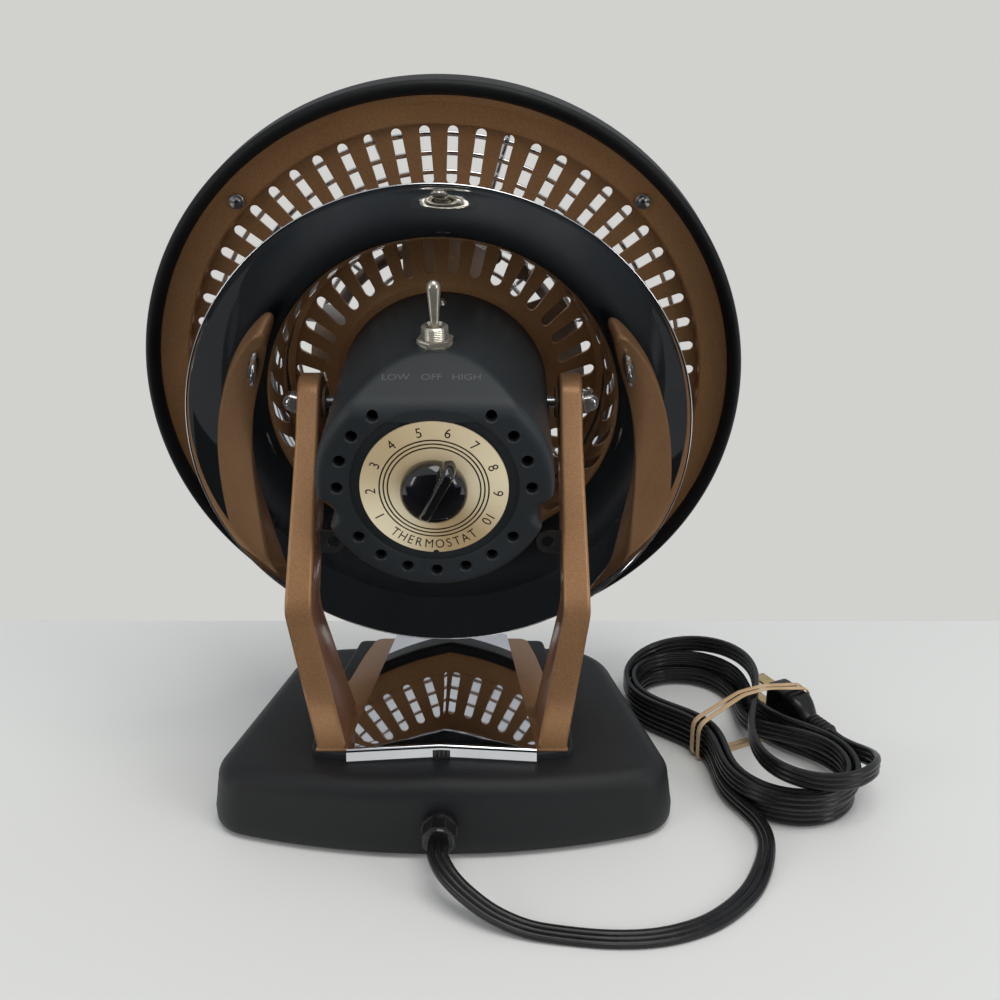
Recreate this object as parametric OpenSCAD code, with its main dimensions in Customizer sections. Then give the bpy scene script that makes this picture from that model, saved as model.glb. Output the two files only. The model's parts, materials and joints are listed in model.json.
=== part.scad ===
// Electric fan heater: a round tilting head in a forked stand on a moulded base.
// +Y is the side that blows warm air, -Y is the side with the controls and the cord.
// The origin is on the floor, under the middle of the object's width and depth.
// Sizes are millimetres.

/* [Base] */
// Width of the base at its widest line
base_w = 228; // [220:1:240]
// Depth of the base from front to back
base_d = 152; // [148:1:160]
// Width of the base across its front corners
base_front_w = 190; // [180:1:200]
// Height of the ridge along the middle of the base
base_h = 40; // [38:1:44]
// How far the top falls from the ridge to its edges
base_fall = 5.5; // [3:0.5:8]
// Wall of the moulded base
base_wall = 3; // [2:0.25:3.5]
// Radius of the bowed rear edge
base_bow_r = 330; // [300:10:500]
// Radius of the rear corners
base_rear_r = 24; // [18:1:30]
// Radius of the front corners
base_front_r = 32; // [24:1:40]
// Gap between the base's lower edge and the floor
base_lift = 2.5; // [2:0.25:4]
// Thickness of the bottom plate
plate_t = 1.5; // [1:0.25:2.5]
// Radius of a rubber foot
foot_r = 8; // [6:0.5:10]
// Height of the flat pad under the fork, above the ridge
plinth_rise = 1.5; // [1:0.25:2.5]

/* [Fork] */
// Height of the tilt axis above the floor
pivot_z = 202.7; // [201.7:0.5:208.7]
// Place of the tilt axis in front of the middle of the base
pivot_y = 2.65; // [0.65:0.5:4.65]
// Distance between the inner faces of the arms at the tilt axis
arm_gap = 112; // [111:0.5:116]
// Width of an arm's edge at the tilt axis
arm_edge_top = 10.7; // [9:0.5:13]
// Width of an arm's edge at the elbow
arm_edge_elbow = 12.4; // [10:0.5:14]
// Width of an arm's edge at its foot
arm_edge_foot = 14.4; // [12:0.5:16]
// Height of the elbow above the floor
elbow_z = 119; // [112:1:124]
// Place of the elbow behind the middle of the base
elbow_y = -46.5; // [-50:0.5:-43]
// Outward lean of an arm from its top to the elbow
elbow_out = 2.7; // [1:0.1:4]
// Inward lean of an arm from the elbow to its foot
foot_in = 8.7; // [8:0.1:10]
// Half depth of an arm at the tilt axis
arm_r = 14; // [12.5:0.5:14.5]
// Half depth of an arm at the elbow
elbow_half = 13; // [11:0.5:15]
// Half depth of an arm's foot
foot_half = 20.5; // [18:0.5:23]
// Middle of the foot, front to back
foot_y = -27.5; // [-30:0.5:-25]
// Sheet of the arms and of the saddle
arm_t = 1.5; // [1:0.1:2]
// Thickness of the cover strip inside an arm
liner_t = 1; // [0.8:0.1:1.5]
// Reach of the stop lug from the cover strip
lug_reach = 11.5; // [10:0.5:12]
// Depth of the folded rear edge of the bright trim
trim_lip = 6; // [4:0.5:6]
// Front end of the bright trim
trim_front = 61; // [56:1:62]

/* [Head] */
// Upward tilt of the head as it stands
head_tilt = 10; // [9:0.5:14]
// Outer radius of the front ring
ring_r = 150; // [146:0.5:151]
// Depth of the front ring
ring_depth = 24; // [22:0.5:28]
// Wall of the front ring
ring_wall = 2.5; // [2:0.25:3]
// Radius where the ring meets the rear shell
shell_r = 143.2; // [142:0.2:144]
// Radius of the circle of shell screws
screw_circle_r = 134.5; // [133:0.5:136]
// Sheet of the rear shell
shell_t = 1.2; // [0.8:0.1:1.5]
// Number of outer slots
slots_out = 60; // [48:2:66]
// Width of an outer slot
slot_out_w = 4.9; // [4:0.1:5.5]
// Inner end of the outer slots
slot_out_r0 = 101; // [99:0.5:105]
// Outer end of the outer slots
slot_out_r1 = 128; // [124:0.5:128.5]
// Number of inner slots
slots_in = 36; // [30:2:40]
// Width of an inner slot
slot_in_w = 5.5; // [4.5:0.1:6]
// Inner end of the inner slots
slot_in_r0 = 59.7; // [59:0.1:62]
// Outer end of the inner slots
slot_in_r1 = 77; // [74:0.5:78]
// Radius where the bright dish starts
dish_r0 = 82; // [81:0.5:84]
// Radius of the rim of the bright dish
dish_r1 = 116.8; // [112:0.2:119]
// Place of the dish rim behind the ring
dish_back = 49; // [46:0.5:52]
// Sagitta of the dish's flare between its two edges
dish_flare = 10.7; // [8:0.1:11]
// Sheet of the dish
dish_t = 0.8; // [0.6:0.1:1.2]

/* [Controls] */
// Radius of the control housing
can_r = 52; // [51:0.25:53]
// Wall of the control housing
can_wall = 2.5; // [2:0.25:3]
// Place of the rear face of the housing behind the ring
can_back = 97.5; // [96:0.5:102]
// Rounding of the rear edge
can_round = 6; // [4:0.5:7]
// Radius of the sunk ring round the dial
recess_r = 36.5; // [35:0.25:38]
// Depth of the sunk ring round the dial
recess_depth = 2; // [1:0.25:3]
// Number of places on the circle of vent holes
vent_places = 20; // [18:1:22]
// Radius of the circle of vent holes
vent_circle_r = 42; // [41:0.25:43]
// Radius of a vent hole
vent_r = 2.5; // [2:0.1:3]
// Radius of the dial plate
dial_r = 32; // [30:0.5:33.5]
// Thickness of the dial plate
dial_t = 1.2; // [0.8:0.1:1.6]
// Radius of the thermostat knob
knob_r = 14.5; // [13:0.5:16]
// Height of the knob's dome
knob_h = 11; // [9:0.5:13]
// Angle of the knob's pointer, clockwise from the top
knob_angle = 26; // [-100:1:100]
// Radius of the toggle's threaded bushing
bushing_r = 5.95; // [5:0.05:6.5]
// Place of the toggle behind the ring
toggle_back = 60; // [56:1:62]
// Length of the toggle lever above its bushing
lever_len = 20; // [16:0.5:24]

/* [Pivot] */
// Radius of the pivot studs
stud_r = 3; // [2.5:0.25:3.5]
// Place of the tilt axis behind the ring
pivot_back = 30.5; // [28.5:0.5:32.5]
// Height of the tilt axis above the head's own axis
pivot_up = 9.5; // [8:0.5:11]

/* [Fan and heater] */
// Radius of the fan
fan_r = 72; // [65:1:75]
// Number of fan blades
blades = 5; // [4:1:7]
// Pitch of a fan blade
blade_pitch = 20; // [14:1:20]
// Radius of the motor shaft
shaft_r = 2.5; // [2:0.25:3]
// Radius of the inner heating ring
element_in_r = 44; // [38:1:48]
// Radius of the outer heating ring
element_out_r = 64; // [58:1:70]
// Radius of a heating tube
element_tube_r = 3.25; // [2.5:0.25:4]
// Bulge of the front guard in front of the ring
guard_bulge = 46; // [46:1:52]
// Number of guard rings
guard_rings_n = 11; // [8:1:12]
// Number of guard spokes
guard_spokes_n = 12; // [8:1:16]
// Radius of the guard wire
wire_r = 1.25; // [1:0.05:1.5]

/* [Cord] */
// Width of the flat cord
cord_w = 9.6; // [9:0.1:10]
// Thickness of the flat cord
cord_t = 3.6; // [3:0.1:3.8]
// Height of the cord's exit above the floor
exit_z = 18.7; // [16:0.1:21]
// Tightest radius of the folds of the bundle
fold_r = 28; // [28:0.5:29]
// Half distance between the two folds of the bundle
fold_c = 45; // [44:0.5:48]
// Half width of the bundle at its waist
waist_half = 14.5; // [13.5:0.5:15]

/* [Hidden] */
$fn = 96;

fit = 0.08;        // radial play of a pin in its bore
seat = 0.05;       // play between faces that lie together
run_gap = 0.3;     // room between pieces that move past each other
eps = 0.01;
depth_shift = -9;  // from the middle of the base to the middle of the whole depth

// Heights in the base
plate_z = base_lift + 0.5;
boss_z = plate_z + plate_t;
edge_z = base_h - base_fall;
plinth_z = base_h + plinth_rise;
saddle_z = plinth_z + seat;
foot_z = saddle_z + arm_t + seat;
boss_r = 5;
screw_r = 1.6;
rear_corner = [base_w/2 - base_rear_r,
    base_bow_r - base_d/2 - sqrt(pow(base_bow_r - base_rear_r, 2) - pow(base_w/2 - base_rear_r, 2))];
front_corner = [base_front_w/2 - base_front_r, base_d/2 - base_front_r];
plate_screw_at = [for (sx = [-1, 1]) for (p = [[rear_corner[0] - 16, rear_corner[1] - 4],
    [front_corner[0] - 12, front_corner[1] + 8]]) [sx*p[0], p[1]]];
feet_at = [for (sx = [-1, 1]) for (p = [rear_corner, front_corner]) [sx*p[0], p[1]]];

// Fork: side profile [y, z] and front outline [x, z] of an arm
arm_in = arm_gap/2;
arm_out = arm_in + arm_edge_top;
elbow_x = arm_out + elbow_out;
foot_x = elbow_x - foot_in;
elbow_tilt = 18;
elbow_rear = [elbow_y - elbow_half*cos(elbow_tilt), elbow_z + elbow_half*sin(elbow_tilt)];
elbow_front = [elbow_y + elbow_half*cos(elbow_tilt), elbow_z - elbow_half*sin(elbow_tilt)];
neck_z = pivot_z - 14;
bolt_x = foot_x - arm_edge_foot/2;
bolt_y = [foot_y - foot_half/2, foot_y + foot_half/2];
bolt_r = 2.5;
lug_z = pivot_z - 61;
lug_half = 5.5;
lug_t = 1.2;
trim_t = 1;
trim_half = foot_x - arm_edge_foot - 0.4;
trim_front_half = 35;
trim_edge_z = foot_z + seat + 0.3;
trim_slope = 3.4;
trim_rear = foot_y - foot_half - 3.5;
saddle_front = trim_front + 6;
saddle_half = 49;

// Head levels, forward of the ring's rear edge
shell_flat = 8;
shell_band = 15.5;
shell_crest = 18;
shell_hub = 5;
hub_bore_r = 16;
shell_inner_r = can_r + 3;
crest_r = dish_r0 + 3;
dish_front = shell_crest - seat - dish_t;
lip_z = ring_depth - 2;
lip_r = ring_r - 12;
guard_edge_r = lip_r + 0.8;
guard_edge_z = lip_z - 2.6;
dome_r = (pow(guard_edge_r, 2) + pow(guard_bulge, 2))/(2*guard_bulge);
dome_z = guard_edge_z + guard_bulge - dome_r;
cap_r = 20;

// Control housing levels, behind the ring's rear edge
can_front = shell_hub - seat;
floor_z = -(can_back - recess_depth);
dial_z = floor_z - 1.5;
slope_back = toggle_back + 8;
slope_drop = 14;
slope_turn = atan2(slope_drop, can_back - recess_depth - slope_back);
toggle_seat = can_r - 1;
pad_x = arm_in - 1.7;
nut_x = arm_out + run_gap + 0.8;
stat_depth = 16;
stat_shaft_r = 3.1;

// Motor levels
stack_back = 46;
stack_t = 20;
rotor_r = 15.6;
pillars_at = [for (x = [-19, 19], y = [-26, 26]) [x, y]];
pillar_r = 3;

// Place of the heating rings in front of the ring's rear edge
element_z = 41.5;

// Cord: the lead's route over the floor, [x, y, z, roll], from the bushing to the bundle
gland_front = 12;
lead_start = -base_d/2 - gland_front;
lead_route = [[0, lead_start - seat, exit_z, 0], [0, lead_start - 5, exit_z, 0],
    [0.5, lead_start - 10, exit_z - 0.5, 0], [5, -106, 15.6, 0], [13, -113, 11.4, 0],
    [25, -120, 6.6, 0], [40, -125, 3, 0], [57, -128, 2, 0], [75, -130, 1.9, 0],
    [92, -129.5, 1.9, 0], [107, -126, 1.9, 0], [121, -119.5, 1.9, 0], [134, -109, 1.9, 0],
    [144, -97, 1.9, 0], [151.5, -83, 3.9, 25], [155.5, -68.5, 5.3, 55], [154.6, -55.5, 6, 80],
    [150.1, -44.7, 6.3, 90], [145.9, -36.1, 6.3, 90]];
lead_steps = 3;
// The bundle: its middle, its turn and its loops
band_t = 1;
bundle_z = band_t + 0.5 + cord_w/2;
bundle_at = [158, 20];
bundle_turn = -63.9;
loop_step = cord_t + 0.6;
waist_step = cord_t + 1.7;
layer_step = cord_w + 0.6;
loop_rings = 24;
turn_back = 1.625;
turns = 3.25;
inner_e = -0.66;
tail_z = bundle_z + 2*layer_step;
// The plug lies beside the waist of the bundle
plug_n = 40.2;
plug_z = 13.2;
neck_x = 31;
neck_l = 16;
plug_l = 30;
plug_h = 24;
plug_t = 15;
blade_l = 16;
tail_arc_x = 52;
tail_arc_r = 30;

function arc(c, r, a0, a1, n) =
    [for (i = [0:n]) let (a = a0 + (a1 - a0)*i/n) [c[0] + r*cos(a), c[1] + r*sin(a)]];
function mirror_x(p) = [for (i = [len(p) - 1:-1:0]) [-p[i][0], p[i][1]]];
// Outline of the base, drawn in by a margin on every side
function half_outline(m) = concat(
    arc([0, base_bow_r - base_d/2], base_bow_r - m, -90,
        -90 + asin(rear_corner[0]/(base_bow_r - base_rear_r)), 8),
    arc(rear_corner, base_rear_r - m, -66, 8, 8),
    arc(front_corner, base_front_r - m, 8, 90, 8));
function outline(m) = concat(half_outline(m), mirror_x(half_outline(m)));
// Height of the front guard's dome over a radius
function dome_at(r) = dome_z + sqrt(dome_r*dome_r - r*r);

module outline_slab(z, m) {
    translate([0, 0, z]) linear_extrude(0.2) polygon(outline(m));
}
// Puts the origin under the middle of the object's depth
module placed() {
    translate([0, depth_shift, 0]) children();
}
// Puts a piece that is drawn round the head's own axis into place: z forward, y down
module head() {
    placed() translate([0, pivot_y, pivot_z]) rotate([head_tilt, 0, 0])
        translate([0, pivot_back, -pivot_up]) rotate([-90, 0, 0]) children();
}
// A place on a circle of the head, clockwise from the top as seen from behind
module around(r, a) {
    rotate([0, 0, a]) translate([0, -r, 0]) children();
}
// Round-ended slot along the radius, from r0 to r1
module slot(r0, r1, w) {
    translate([-w/2, -r1 + w/2]) square([w, r1 - r0 - w]);
    translate([0, -r1 + w/2]) circle(w/2);
    translate([0, -r0 - w/2]) circle(w/2);
}
module rod_x(x0, x1, r) {
    translate([x0, 0, 0]) rotate([0, 90, 0]) cylinder(r = r, h = x1 - x0);
}
module both_sides() {
    children();
    mirror([1, 0, 0]) children();
}

// Base: a moulded shell with a low ridge and a flat pad under the fork
module base_body(m, drop) {
    hull() {
        outline_slab(base_lift, m + 0.8 - min(m, 0.8));
        outline_slab(base_lift + 6, m);
        outline_slab(edge_z - 9 - drop, m + 2.5);
        outline_slab(edge_z - 3.2 - drop, m + 5.5);
        outline_slab(edge_z - 0.2 - drop, m + 11);
        translate([-0.5, -base_d/2 + m + 13, base_h - drop - 1])
            cube([1, base_d - 2*m - 27, 1]);
    }
}
module plinth() {
    rear = trim_rear + 1.4;
    edge = foot_x + 3.3;
    hull() {
        translate([0, 0, edge_z - 1]) linear_extrude(plinth_z - edge_z + 1) polygon([
            [-trim_half - 2, rear], [trim_half + 2, rear], [edge, rear + 4],
            [edge, foot_y + foot_half + 4], [edge - 11, saddle_front + 1],
            [11 - edge, saddle_front + 1], [-edge, foot_y + foot_half + 4], [-edge, rear + 4]]);
    }
}
module base_shell() color("#25282a") placed() difference() {
    union() {
        difference() {
            union() {
                base_body(0, 0);
                plinth();
            }
            base_body(base_wall, base_wall);
            translate([0, 0, base_lift - 1]) linear_extrude(4) polygon(outline(base_wall));
        }
        for (p = plate_screw_at)
            translate([p[0], p[1], boss_z]) cylinder(r = boss_r, h = edge_z - 0.5 - boss_z);
    }
    for (p = plate_screw_at)
        translate([p[0], p[1], boss_z - 1]) cylinder(r = screw_r + fit, h = 16);
    for (sx = [-1, 1]) for (y = bolt_y)
        translate([sx*bolt_x, y, edge_z - 8]) cylinder(r = bolt_r + fit, h = 20);
    translate([0, -base_d/2 - 2, exit_z]) rotate([-90, 0, 0]) cylinder(r = 6.5, h = 12);
}
module bottom_plate() color("#5b5f62") placed() difference() {
    translate([0, 0, plate_z]) linear_extrude(plate_t) polygon(outline(base_wall + 0.4));
    for (p = plate_screw_at)
        translate([p[0], p[1], plate_z - 1]) cylinder(r = screw_r + fit, h = plate_t + 2);
}
module rubber_feet() color("#1b1b1b") placed() {
    for (p = feet_at)
        translate([p[0], p[1], 0]) rotate_extrude() polygon([[0, 0], [foot_r - 1, 0],
            [foot_r, 1], [foot_r, plate_z - seat], [0, plate_z - seat]]);
}
module plate_screws() color("#b9bcc0") placed() {
    for (p = plate_screw_at) translate([p[0], p[1], 0]) {
        translate([0, 0, plate_z - 1.4 - seat]) cylinder(r = 3, h = 1.4);
        translate([0, 0, plate_z - 0.1]) cylinder(r = screw_r, h = 12);
    }
}
// Sealed switch that cuts the current when the heater falls over
module tip_switch() color("#d8d4c8") placed() {
    translate([34, 14, boss_z + seat]) {
        translate([-14, -8, 0]) cube([28, 16, 14]);
        for (x = [-8, 8]) translate([x - 3, -0.4, 14 - eps]) cube([6, 0.8, 6]);
    }
}
module terminal_block() color("#cfcabb") placed() {
    translate([-18, -22, boss_z + seat]) difference() {
        cube([36, 14, 18]);
        for (x = [6, 18, 30]) translate([x, 9, 10]) cylinder(r = 2.2, h = 10);
    }
}
module strain_relief() color("#17181a") placed() {
    wall_y = -base_d/2;
    translate([0, wall_y, exit_z]) rotate([90, 0, 0]) {
        translate([0, 0, -base_wall - 4]) cylinder(r = 6.5 - fit, h = base_wall + 4.5);
        translate([0, 0, 0.4]) cylinder(r = 8.6, h = 2.4);
        rotate([0, 0, 22.5]) translate([0, 0, 2.4])
            cylinder(r = 8.3, h = gland_front - 3.4, $fn = 8);
        translate([0, 0, gland_front - 1.4]) cylinder(r1 = 7.4, r2 = 6.6, h = 1.4);
    }
}
module inner_lead() color("#202124") placed() {
    y0 = -22;
    translate([0, -base_d/2 + base_wall + 4 + seat, exit_z]) rotate([-90, 0, 0])
        linear_extrude(y0 - 2*seat + base_d/2 - base_wall - 4)
            intersection() {
                square([cord_w, cord_t], center = true);
                circle(cord_w/2);
            }
}

// Fork: a saddle plate and two bent channel arms with cover strips
module saddle() color("#9a6a3c") placed() {
    rear = foot_y - foot_half;
    front = foot_y + foot_half;
    difference() {
        side = [[foot_x + 0.3, rear], [foot_x + 0.3, front + 2], [foot_x - 5.7, front + 27],
            [saddle_half + 3, front + 53]];
        nose = arc([saddle_half - 6, saddle_front - 6], 6, 0, 90, 6);
        translate([0, 0, saddle_z]) linear_extrude(arm_t)
            polygon(concat(side, nose, mirror_x(concat(side, nose))));
        for (sx = [-1, 1]) for (y = bolt_y)
            translate([sx*bolt_x, y, saddle_z - 1]) cylinder(r = bolt_r + fit, h = arm_t + 2);
    }
}
// Point where a line from p touches a circle, on its left or right side
function touch(p, c, r, side) = let (d = c - p, l = norm(d), a = side*asin(r/l),
        t = sqrt(l*l - r*r)/l)
    p + t*[d[0]*cos(a) - d[1]*sin(a), d[0]*sin(a) + d[1]*cos(a)];
function bearing(p, c) = atan2(p[1] - c[1], p[0] - c[0]);
function arm_side() = let (c = [pivot_y, pivot_z], f = touch(elbow_front, c, arm_r, -1),
        b = touch(elbow_rear, c, arm_r, 1), a0 = bearing(f, c), a1 = bearing(b, c))
    concat([[foot_y - foot_half, foot_z], [foot_y + foot_half, foot_z], elbow_front],
        arc(c, arm_r, a0, a1 < a0 ? a1 + 360 : a1, 20), [elbow_rear]);
// Outline of an arm from the front: its inner and outer face move in by two margins
function arm_front(inner, outer) = [
    [foot_x - arm_edge_foot + inner, foot_z - 1], [foot_x - outer, foot_z - 1],
    [elbow_x - outer, elbow_z], [arm_out - outer, neck_z], [arm_out - outer, pivot_z + 20],
    [arm_in + inner, pivot_z + 20], [arm_in + inner, neck_z],
    [elbow_x - arm_edge_elbow + inner, elbow_z]];
module arm_blank(margin, inner, outer) {
    intersection() {
        rotate([90, 0, 90]) linear_extrude(100) polygon(grown(arm_side(), -margin));
        translate([0, 50, 0]) rotate([90, 0, 0]) linear_extrude(150)
            polygon(arm_front(inner, outer));
    }
}
module arm() difference() {
    arm_blank(0, 0, 0);
    arm_blank(arm_t, -2, arm_t);
    translate([0, pivot_y, pivot_z]) rod_x(arm_in - 1, arm_out + 1, stud_r + fit);
    for (y = bolt_y) translate([bolt_x, y, foot_z - 1]) cylinder(r = bolt_r + fit, h = 4);
}
module arm_right() color("#a87443") placed() arm();
module arm_left() color("#a87443") placed() mirror([1, 0, 0]) arm();

// Strip that closes the open side of an arm, with the lug that stops the tilt
module liner() {
    t = (neck_z - lug_z)/(neck_z - elbow_z);
    face = arm_in + 0.2 + (elbow_x - arm_edge_elbow - arm_in)*t;
    edge = touch(elbow_front, [pivot_y, pivot_z], arm_r, -1);
    lug_y = elbow_front[0] + (edge[0] - elbow_front[0])*(lug_z - elbow_front[1])
        /(edge[1] - elbow_front[1]) - arm_t - 4;
    difference() {
        union() {
            difference() {
                arm_blank(arm_t + 0.3, 0.2, 0);
                arm_blank(arm_t - 0.7, liner_t + 0.2, -2);
            }
            translate([face - lug_reach + lug_half, lug_y - lug_t, lug_z - lug_half])
                cube([lug_reach - lug_half + liner_t/2, lug_t, 2*lug_half]);
            translate([face - lug_reach + lug_half, lug_y, lug_z]) rotate([90, 0, 0])
                cylinder(r = lug_half, h = lug_t);
        }
        translate([0, pivot_y, pivot_z]) rod_x(arm_in - 1, arm_in + 4, stud_r + fit);
        translate([face - lug_reach + lug_half, lug_y + 1, lug_z]) rotate([90, 0, 0])
            cylinder(r = 2.9, h = lug_t + 2);
    }
}
module liner_right() color("#8e5f45") placed() liner();
module liner_left() color("#8e5f45") placed() mirror([1, 0, 0]) liner();
module arm_spacers() color("#b9bcc0") placed() both_sides() {
    translate([0, pivot_y, pivot_z]) difference() {
        rod_x(arm_in + 0.2 + liner_t + seat, arm_out - arm_t - seat, 5);
        rod_x(arm_in, arm_out, stud_r + fit);
    }
}
module yoke_bolts() color("#b9bcc0") placed() both_sides() {
    for (y = bolt_y) translate([bolt_x, y, 0]) {
        translate([0, 0, edge_z - base_wall - 4]) cylinder(r = 4.2, h = 3, $fn = 6);
        translate([0, 0, edge_z - base_wall - 1 - eps])
            cylinder(r = bolt_r, h = foot_z + 8 - edge_z + base_wall + 1);
    }
}
module yoke_nuts() color("#c9ccd0") placed() both_sides() {
    for (y = bolt_y) translate([bolt_x, y, foot_z + arm_t + seat]) difference() {
        cylinder(r = 4.2, h = 3.6, $fn = 6);
        translate([0, 0, -1]) cylinder(r = bolt_r + fit, h = 6);
    }
}
// Bright plate between the arms, folded along its middle and down at its rear edge
module chrome_trim() color("#e4e6e8") placed() {
    rise = trim_half*tan(trim_slope);
    top = trim_edge_z + trim_t;
    intersection() {
        translate([0, trim_front, 0]) rotate([90, 0, 0]) linear_extrude(trim_front - trim_rear)
            polygon([[-trim_half, top], [-trim_half, trim_edge_z], [0, trim_edge_z + rise],
                [trim_half, trim_edge_z], [trim_half, top], [0, top + rise]]);
        translate([0, 0, trim_edge_z - 1]) linear_extrude(rise + trim_t + 2)
            polygon([[-trim_half, trim_rear], [trim_half, trim_rear],
                [trim_front_half, trim_front], [-trim_front_half, trim_front]]);
    }
    translate([0, trim_rear + trim_t, 0]) rotate([90, 0, 0]) linear_extrude(trim_t)
        polygon([[-trim_half, top], [-trim_half, top - trim_lip], [0, top - trim_lip + rise],
            [trim_half, top - trim_lip], [trim_half, top], [0, top + rise]]);
}

// Head: ring, guard, slotted shell and dish
module front_ring() color("#1d1f21") head() {
    w = ring_wall;
    rotate_extrude($fn = 180) polygon(concat(
        [[shell_r, 3.6]],
        arc([ring_r - 3, 3], 3, 220, 180 + 180, 6),
        arc([ring_r - 8, ring_depth - 8], 8, 0, 90, 8),
        [[lip_r, ring_depth], [lip_r, lip_z]],
        arc([ring_r - 8, ring_depth - 8], 8 - w, 90, 0, 8),
        [[ring_r - w, 5.2], [shell_r, 5.2]]));
    for (a = [45:90:315]) around(screw_circle_r, a) difference() {
        union() {
            translate([0, 0, shell_flat + shell_t + 1.1]) cylinder(r = 3.2, h = 7);
            translate([-1, -ring_r + w + screw_circle_r - 0.5, shell_flat + shell_t + 1.1])
                cube([2, ring_r - w - screw_circle_r, 7]);
        }
        translate([0, 0, shell_flat]) cylinder(r = screw_r + fit, h = 9);
    }
}
module spoke(a) {
    out = asin(guard_edge_r/dome_r);
    in = asin((cap_r - 4)/dome_r);
    rotate([0, 0, a]) translate([0, 0, dome_z]) rotate([90, 0, 0]) rotate([0, 0, 90 - out])
        rotate_extrude(angle = out - in) translate([dome_r, 0]) circle(wire_r, $fn = 24);
}
module wire_ring(r, z, wr) {
    translate([0, 0, z]) rotate_extrude($fn = 120) translate([r, 0]) circle(wr, $fn = 24);
}
module guard_spokes() color("#dfe1e3") head() {
    for (i = [0:guard_spokes_n - 1]) spoke(15 + 360*i/guard_spokes_n);
    wire_ring(guard_edge_r, dome_at(guard_edge_r), 1.5);
    wire_ring(cap_r - 4, dome_at(cap_r - 4), wire_r + 0.2);
}
module guard_rings() color("#dfe1e3") head() {
    pitch = (lip_r - 6 - cap_r)/guard_rings_n;
    for (i = [1:guard_rings_n]) let (r = cap_r + pitch*i)
        wire_ring(r, dome_z + sqrt(pow(dome_r - 2*wire_r - 0.2, 2) - r*r), wire_r);
}
module guard_cap() color("#e4e6e8") head() {
    z0 = dome_at(cap_r - 4) + wire_r + 0.2 + seat + 0.4;
    rotate_extrude() polygon(concat([[0, z0]], [[cap_r, z0]],
        [for (i = [0:8]) let (a = 90*i/8) [cap_r*cos(a), z0 + 4*sin(a)]]));
}
module rear_shell() color("#a06a38") head() difference() {
    t = shell_t;
    rotate_extrude($fn = 180) polygon([
        [ring_r - ring_wall - 0.3, 5.3], [shell_r, 5.3], [shell_r - 3, shell_flat - 0.6],
        [shell_r - 4.5, shell_flat], [130.6, shell_flat + 0.6], [129.8, shell_flat + 1.2],
        [129.4, shell_band - 1.2], [128.8, shell_band - 0.3], [99, shell_band + 0.8],
        [crest_r, shell_crest], [dish_r0 - 4, shell_crest], [dish_r0 - 5, shell_crest - 1],
        [shell_inner_r + 1, shell_hub + 0.2], [shell_inner_r, shell_hub],
        [hub_bore_r, shell_hub], [hub_bore_r, shell_hub + t],
        [shell_inner_r - 0.4, shell_hub + t], [shell_inner_r + 0.6, shell_hub + t + 0.2],
        [dish_r0 - 5.6, shell_crest - 0.6 + t], [dish_r0 - 4.4, shell_crest + t],
        [crest_r + 0.2, shell_crest + t], [99.2, shell_band + 0.8 + t],
        [129.6, shell_band - 0.3 + t], [130.6, shell_band + 0.2], [131, shell_flat + 0.8 + t],
        [shell_r - 4, shell_flat + t], [shell_r - 2, shell_flat - 0.4 + t],
        [shell_r + 0.6, 5.3 + t], [ring_r - ring_wall - 0.3, 5.3 + t]]);
    for (i = [0:slots_out - 1]) rotate([0, 0, 360*(i + 0.5)/slots_out])
        translate([0, 0, shell_band - 5]) linear_extrude(10)
            slot(slot_out_r0, slot_out_r1, slot_out_w);
    for (i = [0:slots_in - 1]) rotate([0, 0, 360*(i + 0.5)/slots_in])
        translate([0, 0, shell_hub - 1]) linear_extrude(18)
            slot(slot_in_r0, slot_in_r1, slot_in_w);
    for (a = [45:90:315]) around(screw_circle_r, a) cylinder(r = screw_r + fit, h = 20);
    for (p = pillars_at) translate([p[0], p[1], 0]) cylinder(r = screw_r + fit, h = 10);
}
module shell_screws() color("#c9ccd0") head() {
    for (a = [45:90:315]) around(screw_circle_r, a) {
        translate([0, 0, shell_flat - 0.1]) rotate([180, 0, 0]) rotate_extrude()
            polygon([[0, 0], [3.6, 0], [3.6, 1], [2.6, 2.1], [0, 2.4]]);
        translate([0, 0, shell_flat + 0.1]) cylinder(r = screw_r, h = 7);
    }
}
// Arc through the two edges of the dish, flaring toward its rim, with a sheet laid outside it
function dish_curve(sheet) =
    let (a = [dish_r0, dish_front], b = [dish_r1, -dish_back], m = (a + b)/2, d = b - a,
        c = norm(d), rad = (c*c/4 + dish_flare*dish_flare)/(2*dish_flare),
        n = [-d[1], d[0]]/c, o = m + n*(rad - dish_flare),
        a0 = atan2(a[1] - o[1], a[0] - o[0]), a1 = atan2(b[1] - o[1], b[0] - o[0]) + 360)
    arc(o, rad - sheet, a0, a1, 16);
module chrome_dish() color("#eceef0") head() {
    inner = dish_curve(0);
    outer = dish_curve(dish_t);
    rotate_extrude($fn = 180) polygon(concat(
        [[dish_r0 - 1, dish_front], [dish_r0 - 0.4, dish_front]],
        [for (i = [1:16]) inner[i]],
        [for (i = [16:-1:2]) outer[i]],
        [[dish_r0 + 1.2, dish_front + dish_t], [dish_r0 - 1, dish_front + dish_t]]));
    wire_ring(dish_r1 + dish_t/2, -dish_back, 1.1);
}

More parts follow.
